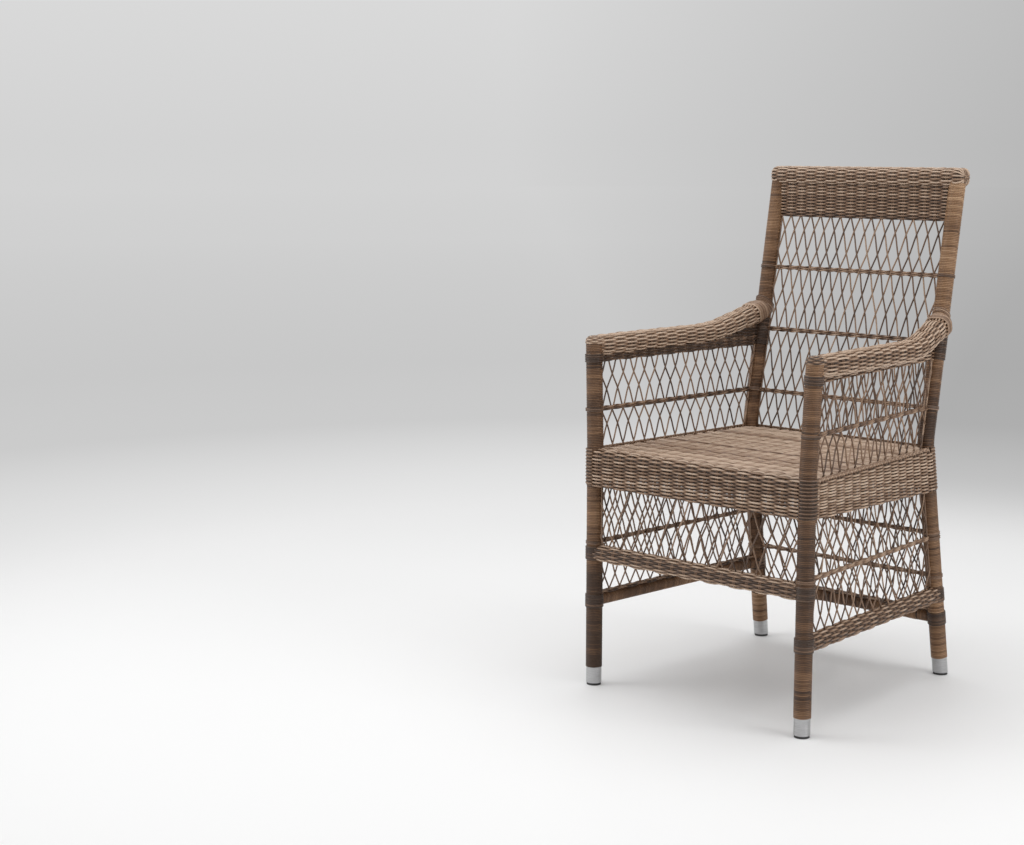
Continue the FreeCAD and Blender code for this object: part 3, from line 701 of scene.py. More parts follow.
def make_lattices():
    """Open lattice of the back, the arms and the skirts, with their twined rows."""
    backs = [partial(back_leg_at, side) for side in (-1, 1)]
    fronts = [partial(front_leg_at, side) for side in (-1, 1)]
    build_panel("back", backs, BACK_PITCH, BACK_CLIMB)
    build_panel("back_skirt", backs, SKIRT_PITCH, SKIRT_CLIMB)
    build_panel("front_skirt", fronts, SKIRT_PITCH, SKIRT_CLIMB)
    for side_name, side in SIDES.items():
        back = partial(back_leg_at, side)
        build_panel(f"{side_name}_arm", (partial(arm_front_at, side), back), SIDE_PITCH, SIDE_CLIMB)
        rail_low, rail_high = box(f"side_{side_name}_rail_wrap")
        rail = (rail_high[2], rail_low[2] + 2 * RAIL_R)
        apron = (box("apron_front")[0][2], box(f"apron_{side_name}")[0][2])
        legs = (partial(front_leg_at, side), back)
        build_panel(f"{side_name}_skirt", legs, SIDE_PITCH, SIDE_CLIMB, (rail, apron))


def build_panel(name, legs, pitch, climb, edges=None):
    """Lattice of a panel and its twined rows, if any. edges are a sloping panel's heights at both legs."""
    low, high = box(f"{name}_lattice")
    edges = edges or ((low[2],) * 2, (high[2],) * 2)
    row_node = next((node for node in frame["nodes"] if node.startswith(f"{name}_twined_row")), None)
    rows = row_heights(row_node) if row_node else []
    piece = Piece(f"{name}_lattice_strands", f"{name}_lattice")
    lattice(piece, *legs, *edges, rows, pitch, climb, Tone(name, *LATTICE_TONE))
    piece.make()
    if not rows:
        return
    twine = Piece(f"{name}_twined_strands", row_node)
    for z in rows:
        twined_row(twine, *legs, z, pitch, Tone(f"{row_node}{z:.2f}", *TWINE_TONE))
    twine.make()


def flat_surface(low_a, low_b, top_a, top_b, normal):
    """Plane patch: u runs from a to b in metres, v from the low edge (0) to the top edge (1)."""
    length = np.linalg.norm(top_b - top_a)

    def surface(u, v):
        t = (u / length)[:, None]
        return lerp(lerp(low_a, low_b, t), lerp(top_a, top_b, t), v[:, None]), normal

    return surface, length


def weave_patch(
    piece, surface, u0, u1, rows, pitch, swing, tone, upright_steps=UPRIGHT_STEPS, painted_highlight_from=1.0
):
    """Field of weavers with their pairs of uprights. Rows past the share given last are paler: a painted
    highlight.
    """
    for row in range(rows):
        start = row * (u1 - u0) + WEAVE_START
        v = (row + 0.5) / rows
        # Rows past that share get a painted highlight
        lift = NOSING_PAINTED_HIGHLIGHT if v > painted_highlight_from else 0.0
        piece.woven_row(surface, u0, u1, v, row, pitch, swing, tone, start, lift)
    first = math.ceil((u0 + TUCK) / pitch)
    last = math.floor((u1 - TUCK) / pitch)
    places = np.arange(first, last + 1) * pitch
    piece.uprights(surface, places, np.linspace(0, 1, upright_steps))


def make_aprons():
    """Woven bands round the seat frame and the plaited borders along their tops."""
    make_front_apron()
    border = Piece("seat_border_plaits", "seat_borders")
    low_back = box("apron_back")[0][2]
    low_front = box("apron_front")[0][2]
    outer = FRONT_Y - box("apron_front")[0][1]
    top = SEAT_Z - BORDER
    runs = {"back": (partial(back_leg_at, 1), partial(back_leg_at, -1), low_back)}
    for side_name, side in SIDES.items():
        runs[side_name] = (partial(front_leg_at, side), partial(back_leg_at, side), low_front)
    for name, (leg_a, leg_b, low_a) in runs.items():
        side = SIDES.get(name, 1)
        _, out = level_axes(leg_a(SEAT_Z), leg_b(SEAT_Z), side)
        piece = Piece(f"apron_{name}_weave", f"apron_{name}")
        offset = out * (outer - APRON_HALF)
        lows, tops = (leg_a(low_a), leg_b(low_back)), (leg_a(top), leg_b(top))
        surface, length = flat_surface(*(p + offset for p in lows), *(p + offset for p in tops), out)
        rows = round((SEAT_Z - low_back - BORDER) / ROW_PITCH)
        tone = Tone(piece.name, *SIDE_APRON_TONE)
        ends = (SEAT_MARGIN, length - SEAT_MARGIN)
        weave_patch(piece, surface, *ends, rows, SIDE_PITCH, APRON_SWING, tone)
        if name != "back":
            apron_corners(piece, side, leg_a, leg_b, low_front, low_back)
        piece.make()
        edge = out * (outer - BORDER / 2) - UP * BORDER / 2
        border_tone = Tone(f"border{name}", *BORDER_TONE)
        plait(border, leg_a(SEAT_Z) + edge, leg_b(SEAT_Z) + edge, out, border_tone)
    border.make()


def apron_corners(piece, side, front_leg, back_leg, low_front, low_back):
    """Weavers carried round the outside of one side's legs, in front of them and behind them by turns."""
    start, end = CORNER_TURN
    front_tone = LEFT_CORNER_TONE if side > 0 else RIGHT_CORNER_TONE
    corners = {
        "front": (front_leg, low_front, (start, end), front_tone),
        "back": (back_leg, low_back, (-end, -start), BACK_CORNER_TONE),
    }
    for place, (leg, low, (start, end), tone) in corners.items():
        if side < 0:
            start, end = math.pi - end, math.pi - start
        tone = Tone(f"{piece.name}{place}", *tone)
        rows = int((SEAT_Z - low) / ROW_PITCH)
        for row in range(rows):
            z = lerp(low, SEAT_Z, (row + 0.5) / rows)
            # The outer weavers get a painted highlight, the inner ones painted shade
            lift, shade = CORNER_OVER if row % 2 else CORNER_UNDER
            loop_round_leg(piece, leg, z, LEG_R + lift, tone(row * CORNER_STEP) + shade, start, end)


def plait(piece, start, end, out, tone):
    """Three strands plaited along a straight edge."""
    length = np.linalg.norm(end - start)
    run = (end - start) / length
    u = np.linspace(PLAIT_MARGIN, length - PLAIT_MARGIN, int(length / PLAIT_WAVE * PLAIT_STEPS))
    for strand in range(3):
        turn = FULL_TURN * (u / PLAIT_WAVE + strand / 3)
        path = start + u[:, None] * run + (np.sin(turn) * PLAIT_LIFT)[:, None] * UP
        path = path + (np.sin(2 * turn) * PLAIT_SWING)[:, None] * out
        for side in (-1, 1):
            lifted = path + (side * PLAIT_SPREAD * np.cos(turn))[:, None] * UP
            piece.tube(lifted, out, PLAIT_R, tone(u + strand * PLAIT_STEP + side + PLAIT_START))


def make_front_apron():
    """Front band, which turns over the seat's front edge."""
    low, high = box("apron_front")
    face, back = low[1] + APRON_HALF, high[1]
    bend_r = NOSING_R - APRON_HALF
    wall = SEAT_Z - NOSING_R - low[2]
    bend = bend_r * math.pi / 2
    lap = back - (face + bend_r)
    total = wall + bend + lap

    def surface(u, v):
        v = v * total
        turn = np.clip((v - wall) / bend_r, 0, math.pi / 2)
        past = np.maximum(v - wall - bend, 0)
        y = face + bend_r - bend_r * np.cos(turn) + past
        z = low[2] + np.minimum(v, wall) + bend_r * np.sin(turn)
        normal = np.stack([0 * turn, -np.cos(turn), np.sin(turn)], -1)
        return np.stack([u, y, z], -1), normal

    piece = Piece("apron_front_weave", "apron_front")
    half = FRONT_X - SEAT_MARGIN
    rows = round(total / ROW_PITCH)
    tone = Tone(piece.name, *APRON_TONE)
    # The rows that turn over the seat's front edge get a painted highlight
    upper = (FRONT_UPRIGHT_STEPS, wall / total)
    weave_patch(piece, surface, -half, half, rows, SKIRT_PITCH, APRON_SWING, tone, *upper)
    piece.make()


def make_deck():
    """Seat of close weavers that run from side to side, in slightly raised courses."""
    low, high = box("seat_deck")
    depth = high[1] - low[1]
    course = depth / round(depth / COURSE)
    top = high[2] - WEAVER_R - DECK_SWING / 2

    def edge(y):
        return lerp(FRONT_X, BACK_X, (y - FRONT_Y) / (BACK_Y - FRONT_Y)) + SEAT_MARGIN

    def surface(u, v):
        y = lerp(low[1], high[1], v)
        within = np.mod(y - low[1], course)
        to_groove = np.minimum(within, course - within)
        z = top - COURSE_RISE * np.clip(1 - to_groove / COURSE_FLANK, 0, 1)
        return np.stack([u, y, z], -1), UP

    piece = Piece("seat_deck_weave", "seat_deck")
    tone = Tone("deck", *DECK_TONE)
    bands = Tone("deck_bands", *DECK_BANDS)
    rows = round(depth / ROW_PITCH)
    for row in range(rows):
        v = (row + 0.5) / rows
        half = edge(lerp(low[1], high[1], v))
        looks = (tone, row * DECK_STEP + WEAVE_START, bands(depth * v), DECK_PAINTED_CREST_SHADING, DECK_ROW_STEPS)
        piece.woven_row(surface, -half, half, v, row, SKIRT_PITCH, DECK_SWING, *looks)
    columns = int(edge(high[1]) / SKIRT_PITCH)
    places = np.arange(-columns, columns + 1) * SKIRT_PITCH
    piece.uprights(surface, places, np.linspace(0, 1, DECK_UPRIGHT_STEPS))
    piece.make()


def make_rails():
    """Lower rails: strand wound on the tube, and a woven band on its outer face and round the legs."""
    rails = {
        "front_rail": ((front_leg_at, -1), (front_leg_at, 1), -BACKWARD),
        "back_rail": ((back_leg_at, 1), (back_leg_at, -1), BACKWARD),
        "side_left_rail": ((front_leg_at, 1), (back_leg_at, 1), ACROSS),
        "side_right_rail": ((back_leg_at, -1), (front_leg_at, -1), -ACROSS),
    }
    for name, (*legs, out) in rails.items():
        low, high = box(f"{name}_wrap")
        heights = {front_leg_at: high[2] - RAIL_R, back_leg_at: low[2] + RAIL_R}
        ends = [(partial(at, side), heights[at]) for at, side in legs]
        start, end = (leg(z) for leg, z in ends)
        winding = Piece(f"{name}_winding", f"{name}_wrap")
        winding.wound(Line([start, end]), RAIL_R, Tone(name, *RAIL_WIND_TONE), sides=RAIL_WIND_SIDES)
        winding.make(WINDING)
        rail_weave(name, start, end, out, ends)


def rail_weave(name, start, end, out, ends):
    """Woven band on a rail's outer face, and its turns round both legs."""
    run = unit(end - start)
    length = np.linalg.norm(end - start)
    out = square_to(out, run)
    rise = np.cross(run, out)
    rise = rise * math.copysign(1, rise[2])
    base_r = RAIL_R + WEAVER_R

    def surface(u, v):
        angle = math.radians(RAIL_WEAVE_LIFT) + (v - 0.5) * math.radians(RAIL_WEAVE_ANGLE)
        normal = turned(out, rise, angle)
        return start + u[:, None] * run + normal * base_r, normal

    band = Piece(f"{name}_weave_strands", f"{name}_weave")
    tone = Tone(band.name, *RAIL_TONE)
    reach = (RAIL_MARGIN, length - RAIL_MARGIN)
    weave_patch(band, surface, *reach, RAIL_WEAVE_ROWS, SKIRT_PITCH, RAIL_SWING, tone)
    for index, (leg, z) in enumerate(ends):
        for row in range(RAIL_LOOPS):
            # Rows laid round the legs are darker: painted shade where the rail meets the leg
            shade = tone(row * RAIL_LOOP_STEP + index * RAIL_END_STEP + RAIL_LOOP_START)
            loop_z = z + (row - (RAIL_LOOPS - 1) / 2) * ROW_PITCH
            loop_round_leg(band, leg, loop_z, LEG_R + RAIL_LOOP, shade + RAIL_LOOP_PAINTED_SHADES[row % 2])
    band.make()


class Section:
    """Rounded box section, asked for its outline point and outward normal by distance round it."""

    def __init__(self, low_a, high_a, low_b, high_b, corner, inset):
        low_a, low_b = low_a + inset, low_b + inset
        high_a, high_b = high_a - inset, high_b - inset
        corner = corner - inset
        points = []
        centres = ((high_a, high_b, 0), (low_a, high_b, 90), (low_a, low_b, 180), (high_a, low_b, 270))
        for a, b, turn in centres:
            ca = a - math.copysign(corner, a - (low_a + high_a) / 2)
            cb = b - math.copysign(corner, b - (low_b + high_b) / 2)
            for angle in np.radians(np.linspace(turn, turn + 90, CORNER_STEPS)):
                points.append((ca + corner * math.cos(angle), cb + corner * math.sin(angle)))
        self.outline = Line(points + points[:1])
        self.length = self.outline.length

    def place(self, v):
        return self.outline.point(np.mod(v, self.length))

    def normal(self, v, reach=0.0015):
        step = unit(self.place(v + reach) - self.place(v - reach))
        return np.stack([step[..., 1], -step[..., 0]], -1)


def roll_rows(piece, section, surface, u0, u1, pitch, tone):
    """Weavers all round a roll. Their number is even, so that the last and the first alternate too."""
    rows = 2 * round(section.length / ROW_PITCH / 2)
    for row in range(rows):
        v = row / rows * section.length
        piece.woven_row(surface, u0, u1, v, row, pitch, ROLL_SWING, tone, row * ROLL_STEP)


def make_head():
    """Woven head band, which comes forward as it rises, and the woven roll over the top rail."""
    low = box("head_band")[0][2]
    foot, top = back_leg_at(1, low), back_leg_at(1, HEAD_LOW + STRAND_R)
    top[1] -= HEAD_FORWARD * (top[2] - low) / (TOP_Z - low)
    rise = unit(top - foot)
    out = np.array((0, -rise[2], rise[1]))

    def band_surface(u, v):
        point = lerp(foot, top, v[:, None])
        point[:, 0] = u
        return point, out

    band = Piece("head_band_weave", "head_band")
    half = BACK_X - LEG_R + HEAD_BITE
    rows = round(np.linalg.norm(top - foot) / ROW_PITCH)
    weave_patch(band, band_surface, -half, half, rows, BACK_PITCH, BAND_SWING, Tone("head", *HEAD_TONE))
    band.make()
    head_roll()


def head_roll():
    """Roll of weavers along the top rail, closed at its rounded ends."""
    low, high = box("head_roll")
    section = Section(low[1], high[1], low[2], high[2], HEAD_CORNER, ROLL_INSET)
    centre = (low + high) / 2
    ends = high[0] - ROLL_INSET

    def surface(u, v):
        place, normal = section.place(v), section.normal(v)
        past = np.maximum(np.abs(u) - (ends - HEAD_ROUND), 0) / HEAD_ROUND
        pull = HEAD_ROUND * (1 - np.sqrt(np.maximum(1 - past**2, 0)))
        place = place - normal * pull[:, None]
        return np.column_stack((u, place)), np.column_stack((0 * u, normal))

    roll = Piece("head_roll_weave", "head_roll")
    tone = Tone("head_roll", *HEAD_ROLL_TONE)
    roll_rows(roll, section, surface, -ends, ends, BACK_PITCH, tone)
    around = np.linspace(0, section.length, RING_STEPS)
    columns = int((ends - HEAD_ROUND) / BACK_PITCH)
    roll.uprights(surface, np.arange(-columns, columns + 1) * BACK_PITCH, around)
    reach = (high[1] - low[1]) / 2 - ROLL_INSET - HEAD_ROUND
    y = np.linspace(-reach, reach, LEAST_STEPS)
    for side in (-1, 1):
        for lift in (-ROW_PITCH, 0, ROW_PITCH):
            path = np.stack([0 * y + side * ends, centre[1] + y, 0 * y + centre[2] + lift], -1)
            roll.tube(path, ACROSS, STRAND_R, tone(lift * END_STEP + EDGE_START))
    roll.make()


def arm_line(name, side):
    """Centre line of an arm, from the front post to the back post. It bows out, then rises."""
    z = box(f"{name}_tube")[0][2] + ARM_TUBE_R
    front = front_leg_at(side, z)
    back = back_leg_at(side, z + ARM_RISE)
    bend = lerp(front, back, ARM_BEND / (back[1] - front[1]))
    bend += (side * ARM_BOW, 0, 0)
    bend[2] = z
    return Line(rounded_line([front, bend, back], ARM_BEND_REACH))


def make_arms():
    """Woven arm rolls with their caps, the bands under them and the bindings at the back posts."""
    for side_name, side in SIDES.items():
        name = f"{side_name}_arm"
        line = arm_line(name, side)
        half_h = line.points[0][2] - box(f"{name}_roll")[0][2]
        section = Section(-ARM_INNER, ARM_OUTER, -half_h, half_h, ARM_CORNER, ROLL_INSET)
        _, across = level_axes(line.points[0], line.points[1], side)
        arm_roll(name, side, line, section, across, half_h)
        arm_band(name, side, line, half_h)
        arm_binding(name, side, line, section, across)


def arm_roll(name, side, line, section, across, half_h):
    """Roll of weavers along an arm, narrowed at its front post."""

    def surface(u, v):
        place, normal = section.place(v), section.normal(v)
        t = np.clip(u / ARM_TAPER, 0, 1)
        reach = np.where(place[:, 0] > 0, ARM_OUTER, ARM_INNER)
        a = place[:, 0] * lerp(ARM_ROOT / reach, 1.0, t)
        tangent = line.direction(u)
        lift = square_to(UP, tangent)
        point = line.point(u) + a[:, None] * across + place[:, 1:2] * lift
        return point, normal[:, :1] * across + normal[:, 1:] * lift

    roll = Piece(f"{name}_roll_weave", f"{name}_roll")
    end = line.length - LEG_R - BINDING / 2
    tone = Tone(roll.name, *ARM_TONE)
    roll_rows(roll, section, surface, TUCK, end, SIDE_PITCH, tone)
    around = np.linspace(0, section.length, ARM_RING_STEPS)
    roll.uprights(surface, np.arange(SIDE_PITCH, end, SIDE_PITCH), around)
    arm_cap(roll, front_leg_at(side, FRONT_TOP), line.points[0][2] + half_h, tone)
    roll.make()


def arm_cap(piece, foot, top_z, tone):
    """Rings of strand that close an arm roll over its front post."""
    angle = np.linspace(0, FULL_TURN, LOOP_STEPS + 1)[:-1]
    spoke = turned(ACROSS, BACKWARD, angle)
    outer = LEG_R - STRAND_R / 2
    crown = top_z - foot[2] - STRAND_R
    shoulder = crown - ARM_CAP_ROUND
    profile = [(outer, shoulder - STRAND_R)]
    for turn in np.linspace(0, math.pi / 2, CAP_STEPS):
        r = outer + ARM_CAP_ROUND * (math.cos(turn) - 1)
        profile.append((r, shoulder + ARM_CAP_ROUND * math.sin(turn)))
    profile.append((STRAND_R, crown))
    profile = Line(profile)
    for ring in range(int(profile.length / ROW_PITCH) + 1):
        r, z = profile.point(ring * ROW_PITCH)
        # Painted highlight and shade in waves round each ring, standing in for weavers passing over and
        # under
        shade = tone(ring * CAP_STEP) + PAINTED_CREST_SHADING * np.cos(angle * ARM_CAP_PAINTED_WAVES + math.pi * ring)
        piece.tube(foot + spoke * r + UP * z, spoke, STRAND_R, shade, True)


def arm_band(name, side, line, half_h):
    """Woven band under an arm roll. Its upper rows start where the rising roll leaves room for them."""
    low = box(f"{name}_band")[0]
    front, back = partial(arm_front_at, side), partial(back_leg_at, side)
    along, out = level_axes(front(low[2]), back(low[2]), side)
    piece = Piece(f"{name}_band_weave", f"{name}_band")
    tone = Tone(piece.name, *BAND_TONE)
    under = line.points[:, 2] - half_h + TUCK
    rows = int((under[-1] - low[2]) / ROW_PITCH)
    posts = ((partial(front_leg_at, side), under[0]), (back, under[-1]))

    def face(u, z):
        return front(low[2]) * (1, 1, 0) + u[:, None] * along + z[:, None] * UP, out

    for row in range(rows):
        z = low[2] + (row + 0.5) * ROW_PITCH
        # Rows laid round the posts are darker: painted shade where the band meets the posts under the arm
        # roll
        shade = tone(row * BAND_LOOP_STEP + BAND_LOOP_START) + BAND_LOOP_PAINTED_SHADES[row % 2]
        for post, top in posts:
            if z < top:
                loop_round_leg(piece, post, z, LEG_R + BAND_LOOP, shade)
        start, end = front(z), back(z)
        length = np.linalg.norm(end - start)
        first = np.interp(z, under, line.at) if z > under[0] else LEG_R - LEG_BITE
        if first > length - LEG_R - TUCK:
            continue
        surface, _ = flat_surface(start, end, start, end, out)
        last = length - LEG_R + LEG_BITE
        looks = (tone, row * ROLL_STEP)
        piece.woven_row(surface, first, last, 0.5, row, SIDE_PITCH, BAND_SWING, *looks)
    for u in np.arange(SIDE_PITCH, line.length - LEG_R - BINDING, SIDE_PITCH):
        top = line.point(u)[2] - half_h + BAND_UPRIGHT_TUCK
        piece.uprights(face, [u], np.linspace(low[2], top, BAND_UPRIGHT_STEPS))
    piece.make()


def arm_binding(name, side, line, section, across):
    """Turns of strand that bind an arm's end to its back post: a collar, a fan and a strap."""
    piece = Piece(f"{name}_binding_turns", f"{name}_binding")
    tone = Tone(piece.name, *BINDING_TONE)

    def shade_of(turn, first):
        # Every second turn is darker: painted shade for the dark lines between the turns
        return tone(turn * BINDING_STEP + first) - turn % 2 * TURN_PAINTED_SHADE

    around = np.linspace(0, section.length, RING_STEPS + 1)[:-1]
    normal = section.normal(around)
    spread = section.place(around) + normal * ROLL_INSET
    for turn in range(COLLAR_TURNS):
        u = line.length - LEG_R - BINDING + TUCK + turn * ROW_PITCH
        tangent = line.direction(u)
        lift = square_to(UP, tangent)
        path = line.point(u) + spread[:, :1] * across + spread[:, 1:] * lift
        spoke = normal[:, :1] * across + normal[:, 1:] * lift
        piece.tube(path, spoke, STRAND_R, shade_of(turn, 0), True)
    leg = partial(back_leg_at, side)
    base = line.points[-1][2] + STRAP_RISE
    axis = leg_axis(leg, base)
    ahead = -square_to(line.direction(line.length), axis)
    centred = spread - spread.mean(0)
    angle = np.arctan2(centred[:, 1], centred[:, 0])
    post_spoke = turned(square_to(across, axis), ahead, angle)
    post_ring = post_spoke * (LEG_R + STRAP_LOOP) + axis * np.sin(angle)[:, None] * STRAP_TILT
    for turn, share in enumerate(np.linspace(0, 1, FAN_TURNS + 2)[1:-1]):
        fan_path = lerp(path, leg(base) + post_ring, share)
        piece.tube(fan_path, lerp(spoke, post_spoke, share), STRAND_R, shade_of(turn, FAN_START), True)
    for turn in range(STRAP_TURNS):
        strap_path = leg(base + turn * ROW_PITCH) + post_ring
        piece.tube(strap_path, post_spoke, STRAND_R, shade_of(turn, STRAP_START), True)
    piece.make()


def principled(name):
    """New material, its node tree and its main shader."""
    material = bpy.data.materials.new(name)
    material.use_nodes = True
    tree = material.node_tree
    return material, tree, tree.nodes["Principled BSDF"]


def fill(tree, node, inputs):
    """Sets a node's inputs, or links those that come from another node."""
    for key, value in inputs.items():
        if isinstance(value, bpy.types.NodeSocket):
            tree.links.new(value, node.inputs[key])
        else:
            node.inputs[key].default_value = value


def add_node(tree, kind, inputs=None, **settings):
    """New shader node with its inputs and settings."""
    node = tree.nodes.new(f"ShaderNode{kind}")
    for name, value in settings.items():
        setattr(node, name, value)
    fill(tree, node, inputs or {})
    return node


def ramp(tree, stops, source):
    """Colour ramp fed by a value."""
    node = add_node(tree, "ValToRGB", {"Fac": source})
    elements = node.color_ramp.elements
    while len(elements) < len(stops):
        elements.new(0.5)
    for element, (place, colour) in zip(elements, stops):
        element.position = place
        element.color = (*colour, 1)
    return node.outputs["Color"]


def greys(stops):
    """Stops of a colour ramp from places and greys."""
    return [(place, (grey,) * 3) for place, grey in stops]


def noise(tree, scale, detail=3.0, stretch=(1, 1, 1)):
    """Noise in the object's own frame."""
    coords = add_node(tree, "TexCoord")
    mapping = add_node(tree, "Mapping", {"Vector": coords.outputs["Object"], "Scale": stretch})
    inputs = {"Vector": mapping.outputs["Vector"], "Scale": scale, "Detail": detail}
    return add_node(tree, "TexNoise", inputs).outputs["Fac"]


def math_node(tree, operation, a, b):
    """Two values joined by a sum, product or the like."""
    return add_node(tree, "Math", {0: a, 1: b}, operation=operation).outputs[0]


def finish_surface(tree, shader, colour, grain, roughness, relief):
    """Gives a shader its colour, its roughness as the least and what the grain adds, and a relief of a
    strength and depth."""
    least, added = roughness
    strength, depth = relief
    rough = math_node(tree, "ADD", math_node(tree, "MULTIPLY", grain, added), least)
    bump = add_node(tree, "Bump", {"Height": grain, "Strength": strength, "Distance": depth})
    fill(tree, shader, {"Base Color": colour, "Roughness": rough, "Normal": bump.outputs["Normal"]})


def wicker_material(name, stops, least_roughness, specular):
    """Round plastic strand that drifts between dark brown and pale tan, with a fine drawn grain."""
    _, tree, shader = principled(name)
    # The shade attribute holds each strand's tone together with the painted highlights and painted shade
    # added to it
    shade = add_node(tree, "Attribute", attribute_name="shade")
    grain = noise(tree, GRAIN_SCALE)
    patch = noise(tree, PATCH_SCALE)
    mixed = math_node(tree, "ADD", shade.outputs["Fac"], math_node(tree, "MULTIPLY", grain, GRAIN_SHADE))
    mixed = math_node(tree, "ADD", mixed, math_node(tree, "MULTIPLY", patch, PATCH_SHADE))
    mixed = math_node(tree, "SUBTRACT", mixed, (GRAIN_SHADE + PATCH_SHADE) / 2)
    colour = ramp(tree, stops, mixed)
    finish_surface(tree, shader, colour, grain, roughness=(least_roughness, 0.2), relief=(0.25, 0.0003))
    shader.inputs["Specular IOR Level"].default_value = specular


def grained_material(name, grain, stops, roughness, relief, metallic=0.0):
    """Material whose colour, roughness and relief follow one grain of a scale, detail and stretch."""
    material, tree, shader = principled(name)
    height = noise(tree, *grain)
    finish_surface(tree, shader, ramp(tree, stops, height), height, roughness, relief)
    shader.inputs["Metallic"].default_value = metallic
    return material


def dress_solids():
    """Solids that stay: finely ringed aluminium ferrules, scuffed rubber glides, powder coated tubes."""
    ringed = (90.0, 5.0, (0.6, 0.6, 14.0))
    silver = [(0.3, (0.36, 0.36, 0.365)), (0.7, (0.54, 0.54, 0.545))]
    black = greys([(0.35, 0.012), (0.75, 0.05)])
    brown = [(0.3, (0.060, 0.038, 0.026)), (0.7, (0.095, 0.060, 0.042))]
    looks = {
        "ferrule": grained_material("ferrule_aluminium", ringed, silver, (0.10, 0.16), (0.12, 0.0002), 1.0),
        "glide": grained_material("glide_rubber", (260.0, 6.0), black, (0.45, 0.3), (0.2, 0.0003)),
        "frame": grained_material("frame_powder_coat", (700.0, 2.0), brown, (0.42, 0.2), (0.15, 0.0002)),
    }
    for subpart in frame["record"]["subparts"]:
        look = looks.get(subpart["material_slot"])
        if look is not None:
            for slot in frame["nodes"][subpart["node"]].material_slots:
                slot.material = look


def side_falloff(tree, vector):
    """Strength of the backdrop and the far floor, which falls towards one side of the studio: painted light
    falloff.
    """
    along = add_node(tree, "VectorMath", {0: vector}, operation="NORMALIZE")
    aside = (math.cos(HEADING), math.sin(HEADING), 0)
    across = add_node(tree, "VectorMath", {0: along.outputs["Vector"], 1: aside}, operation="DOT_PRODUCT")
    inputs = {"Value": across.outputs["Value"], "From Max": FALL_REACH, "To Min": 1.0, "To Max": FALL_LEAST}
    return add_node(tree, "MapRange", inputs).outputs["Result"]


def seen_ray(tree):
    """One for a ray from the camera or from a glossy surface, and nothing for the rest."""
    rays = add_node(tree, "LightPath").outputs
    return math_node(tree, "MAXIMUM", rays["Is Camera Ray"], rays["Is Glossy Ray"])


def mix_to(tree, output, share, first, second):
    """Mix of two shaders as a tree's surface."""
    mix = add_node(tree, "MixShader", {"Fac": share, 1: first, 2: second})
    fill(tree, tree.nodes[output], {"Surface": mix.outputs["Shader"]})


def make_stage():
    """Pale floor that greys with distance. Beyond the chair the camera and gloss see it glow, and its
    greying and its fall to one side there are painted light falloff.
    """
    angle = np.linspace(0, FULL_TURN, FLOOR_STEPS + 1)[:-1]
    ring = turned(ACROSS, BACKWARD, angle) * FLOOR_R
    mesh = bpy.data.meshes.new("floor")
    mesh.from_pydata([tuple(p) for p in ring], [], [tuple(range(FLOOR_STEPS))])
    floor = add_object("floor", mesh)
    material, tree, shader = principled("studio_floor")
    position = add_node(tree, "NewGeometry").outputs["Position"]
    distance = add_node(tree, "VectorMath", {0: position}, operation="LENGTH").outputs["Value"]
    far = math_node(tree, "DIVIDE", distance, FLOOR_R)
    colour = ramp(tree, greys([(metres / FLOOR_R, grey) for metres, grey in FLOOR_GREYS]), far)
    fill(tree, shader, {"Base Color": colour, "Roughness": FLOOR_ROUGHNESS})
    # The far floor glows for the camera and gloss: painted light falloff, falling to one side
    glow = add_node(tree, "Emission", {"Color": colour, "Strength": side_falloff(tree, position)})
    inputs = {"Value": distance, "From Min": FLOOR_BLEND[0], "From Max": FLOOR_BLEND[1]}
    blend = add_node(tree, "MapRange", inputs, interpolation_type="SMOOTHSTEP").outputs["Result"]
    share = math_node(tree, "MULTIPLY", blend, seen_ray(tree))
    mix_to(tree, "Material Output", share, shader.outputs["BSDF"], glow.outputs["Emission"])
    mesh.materials.append(material)


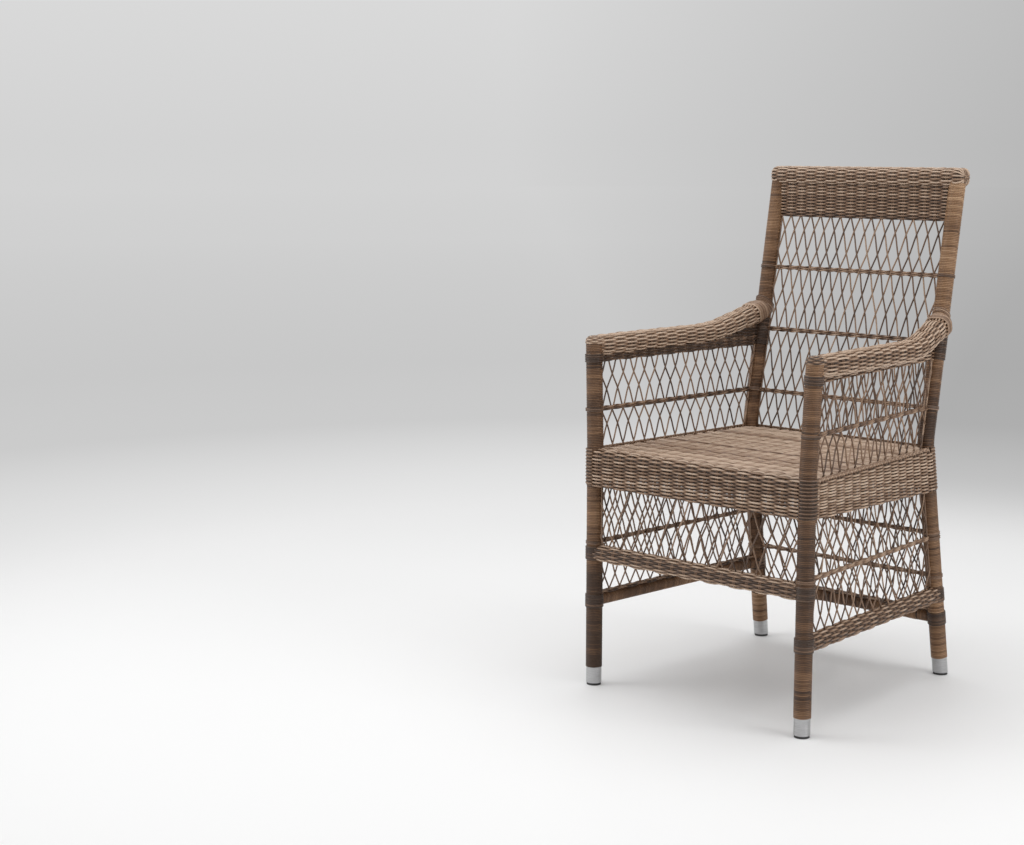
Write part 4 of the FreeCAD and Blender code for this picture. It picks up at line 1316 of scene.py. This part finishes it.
def make_light():
    """Soft light from a large box overhead and weaker fills at the sides."""
    for name, (place, aim, size, power) in SOFTBOXES.items():
        data = bpy.data.lights.new(name, "AREA")
        data.shape = "RECTANGLE"
        data.size, data.size_y = size
        data.energy = power
        lamp = add_object(name, data)
        lamp.location = place
        lamp.rotation_euler = (Vector(aim) - Vector(place)).to_track_quat("-Z", "Y").to_euler()


def make_world():
    """Even white light from all round, and a pale surround that only the camera and gloss see, whose fall to
    one side is painted light falloff.
    """
    world = bpy.data.worlds.new("studio")
    bpy.context.scene.world = world
    world.use_nodes = True
    tree = world.node_tree
    background = tree.nodes["Background"]
    fill(tree, background, {"Color": (1, 1, 1, 1), "Strength": WORLD_STRENGTH})
    view = add_node(tree, "TexCoord").outputs["Generated"]
    height = add_node(tree, "SeparateXYZ", {"Vector": view}).outputs["Z"]
    inputs = {"Color": ramp(tree, greys(BACKDROP_GREYS), height), "Strength": side_falloff(tree, view)}
    backdrop = add_node(tree, "Background", inputs)
    shaders = (background.outputs["Background"], backdrop.outputs["Background"])
    mix_to(tree, "World Output", seen_ray(tree), *shaders)


def make_camera():
    """Camera at the photograph's viewing place."""
    data = bpy.data.cameras.new("camera")
    data.sensor_width = SENSOR
    data.lens = LENS
    camera = add_object("camera", data)
    camera.location = (CAMERA_X, FRONT_Y - CAMERA_BACK, CAMERA_Z)
    level = math.cos(PITCH)
    forward = Vector((-math.sin(HEADING) * level, math.cos(HEADING) * level, -math.sin(PITCH)))
    camera.rotation_euler = forward.to_track_quat("-Z", "Y").to_euler()
    bpy.context.scene.camera = camera


def main():
    """Makes the camera, every piece, the studio and its light."""
    make_camera()
    wicker_material(WEAVE, WEAVE_COLOURS, least_roughness=0.30, specular=0.5)
    wicker_material(WINDING, WINDING_COLOURS, least_roughness=0.36, specular=0.35)
    make_legs()
    make_rails()
    make_aprons()
    make_deck()
    make_arms()
    make_head()
    make_lattices()
    dress_solids()
    make_stage()
    make_light()
    make_world()
    bpy.context.scene.view_settings.view_transform = "Standard"


main()
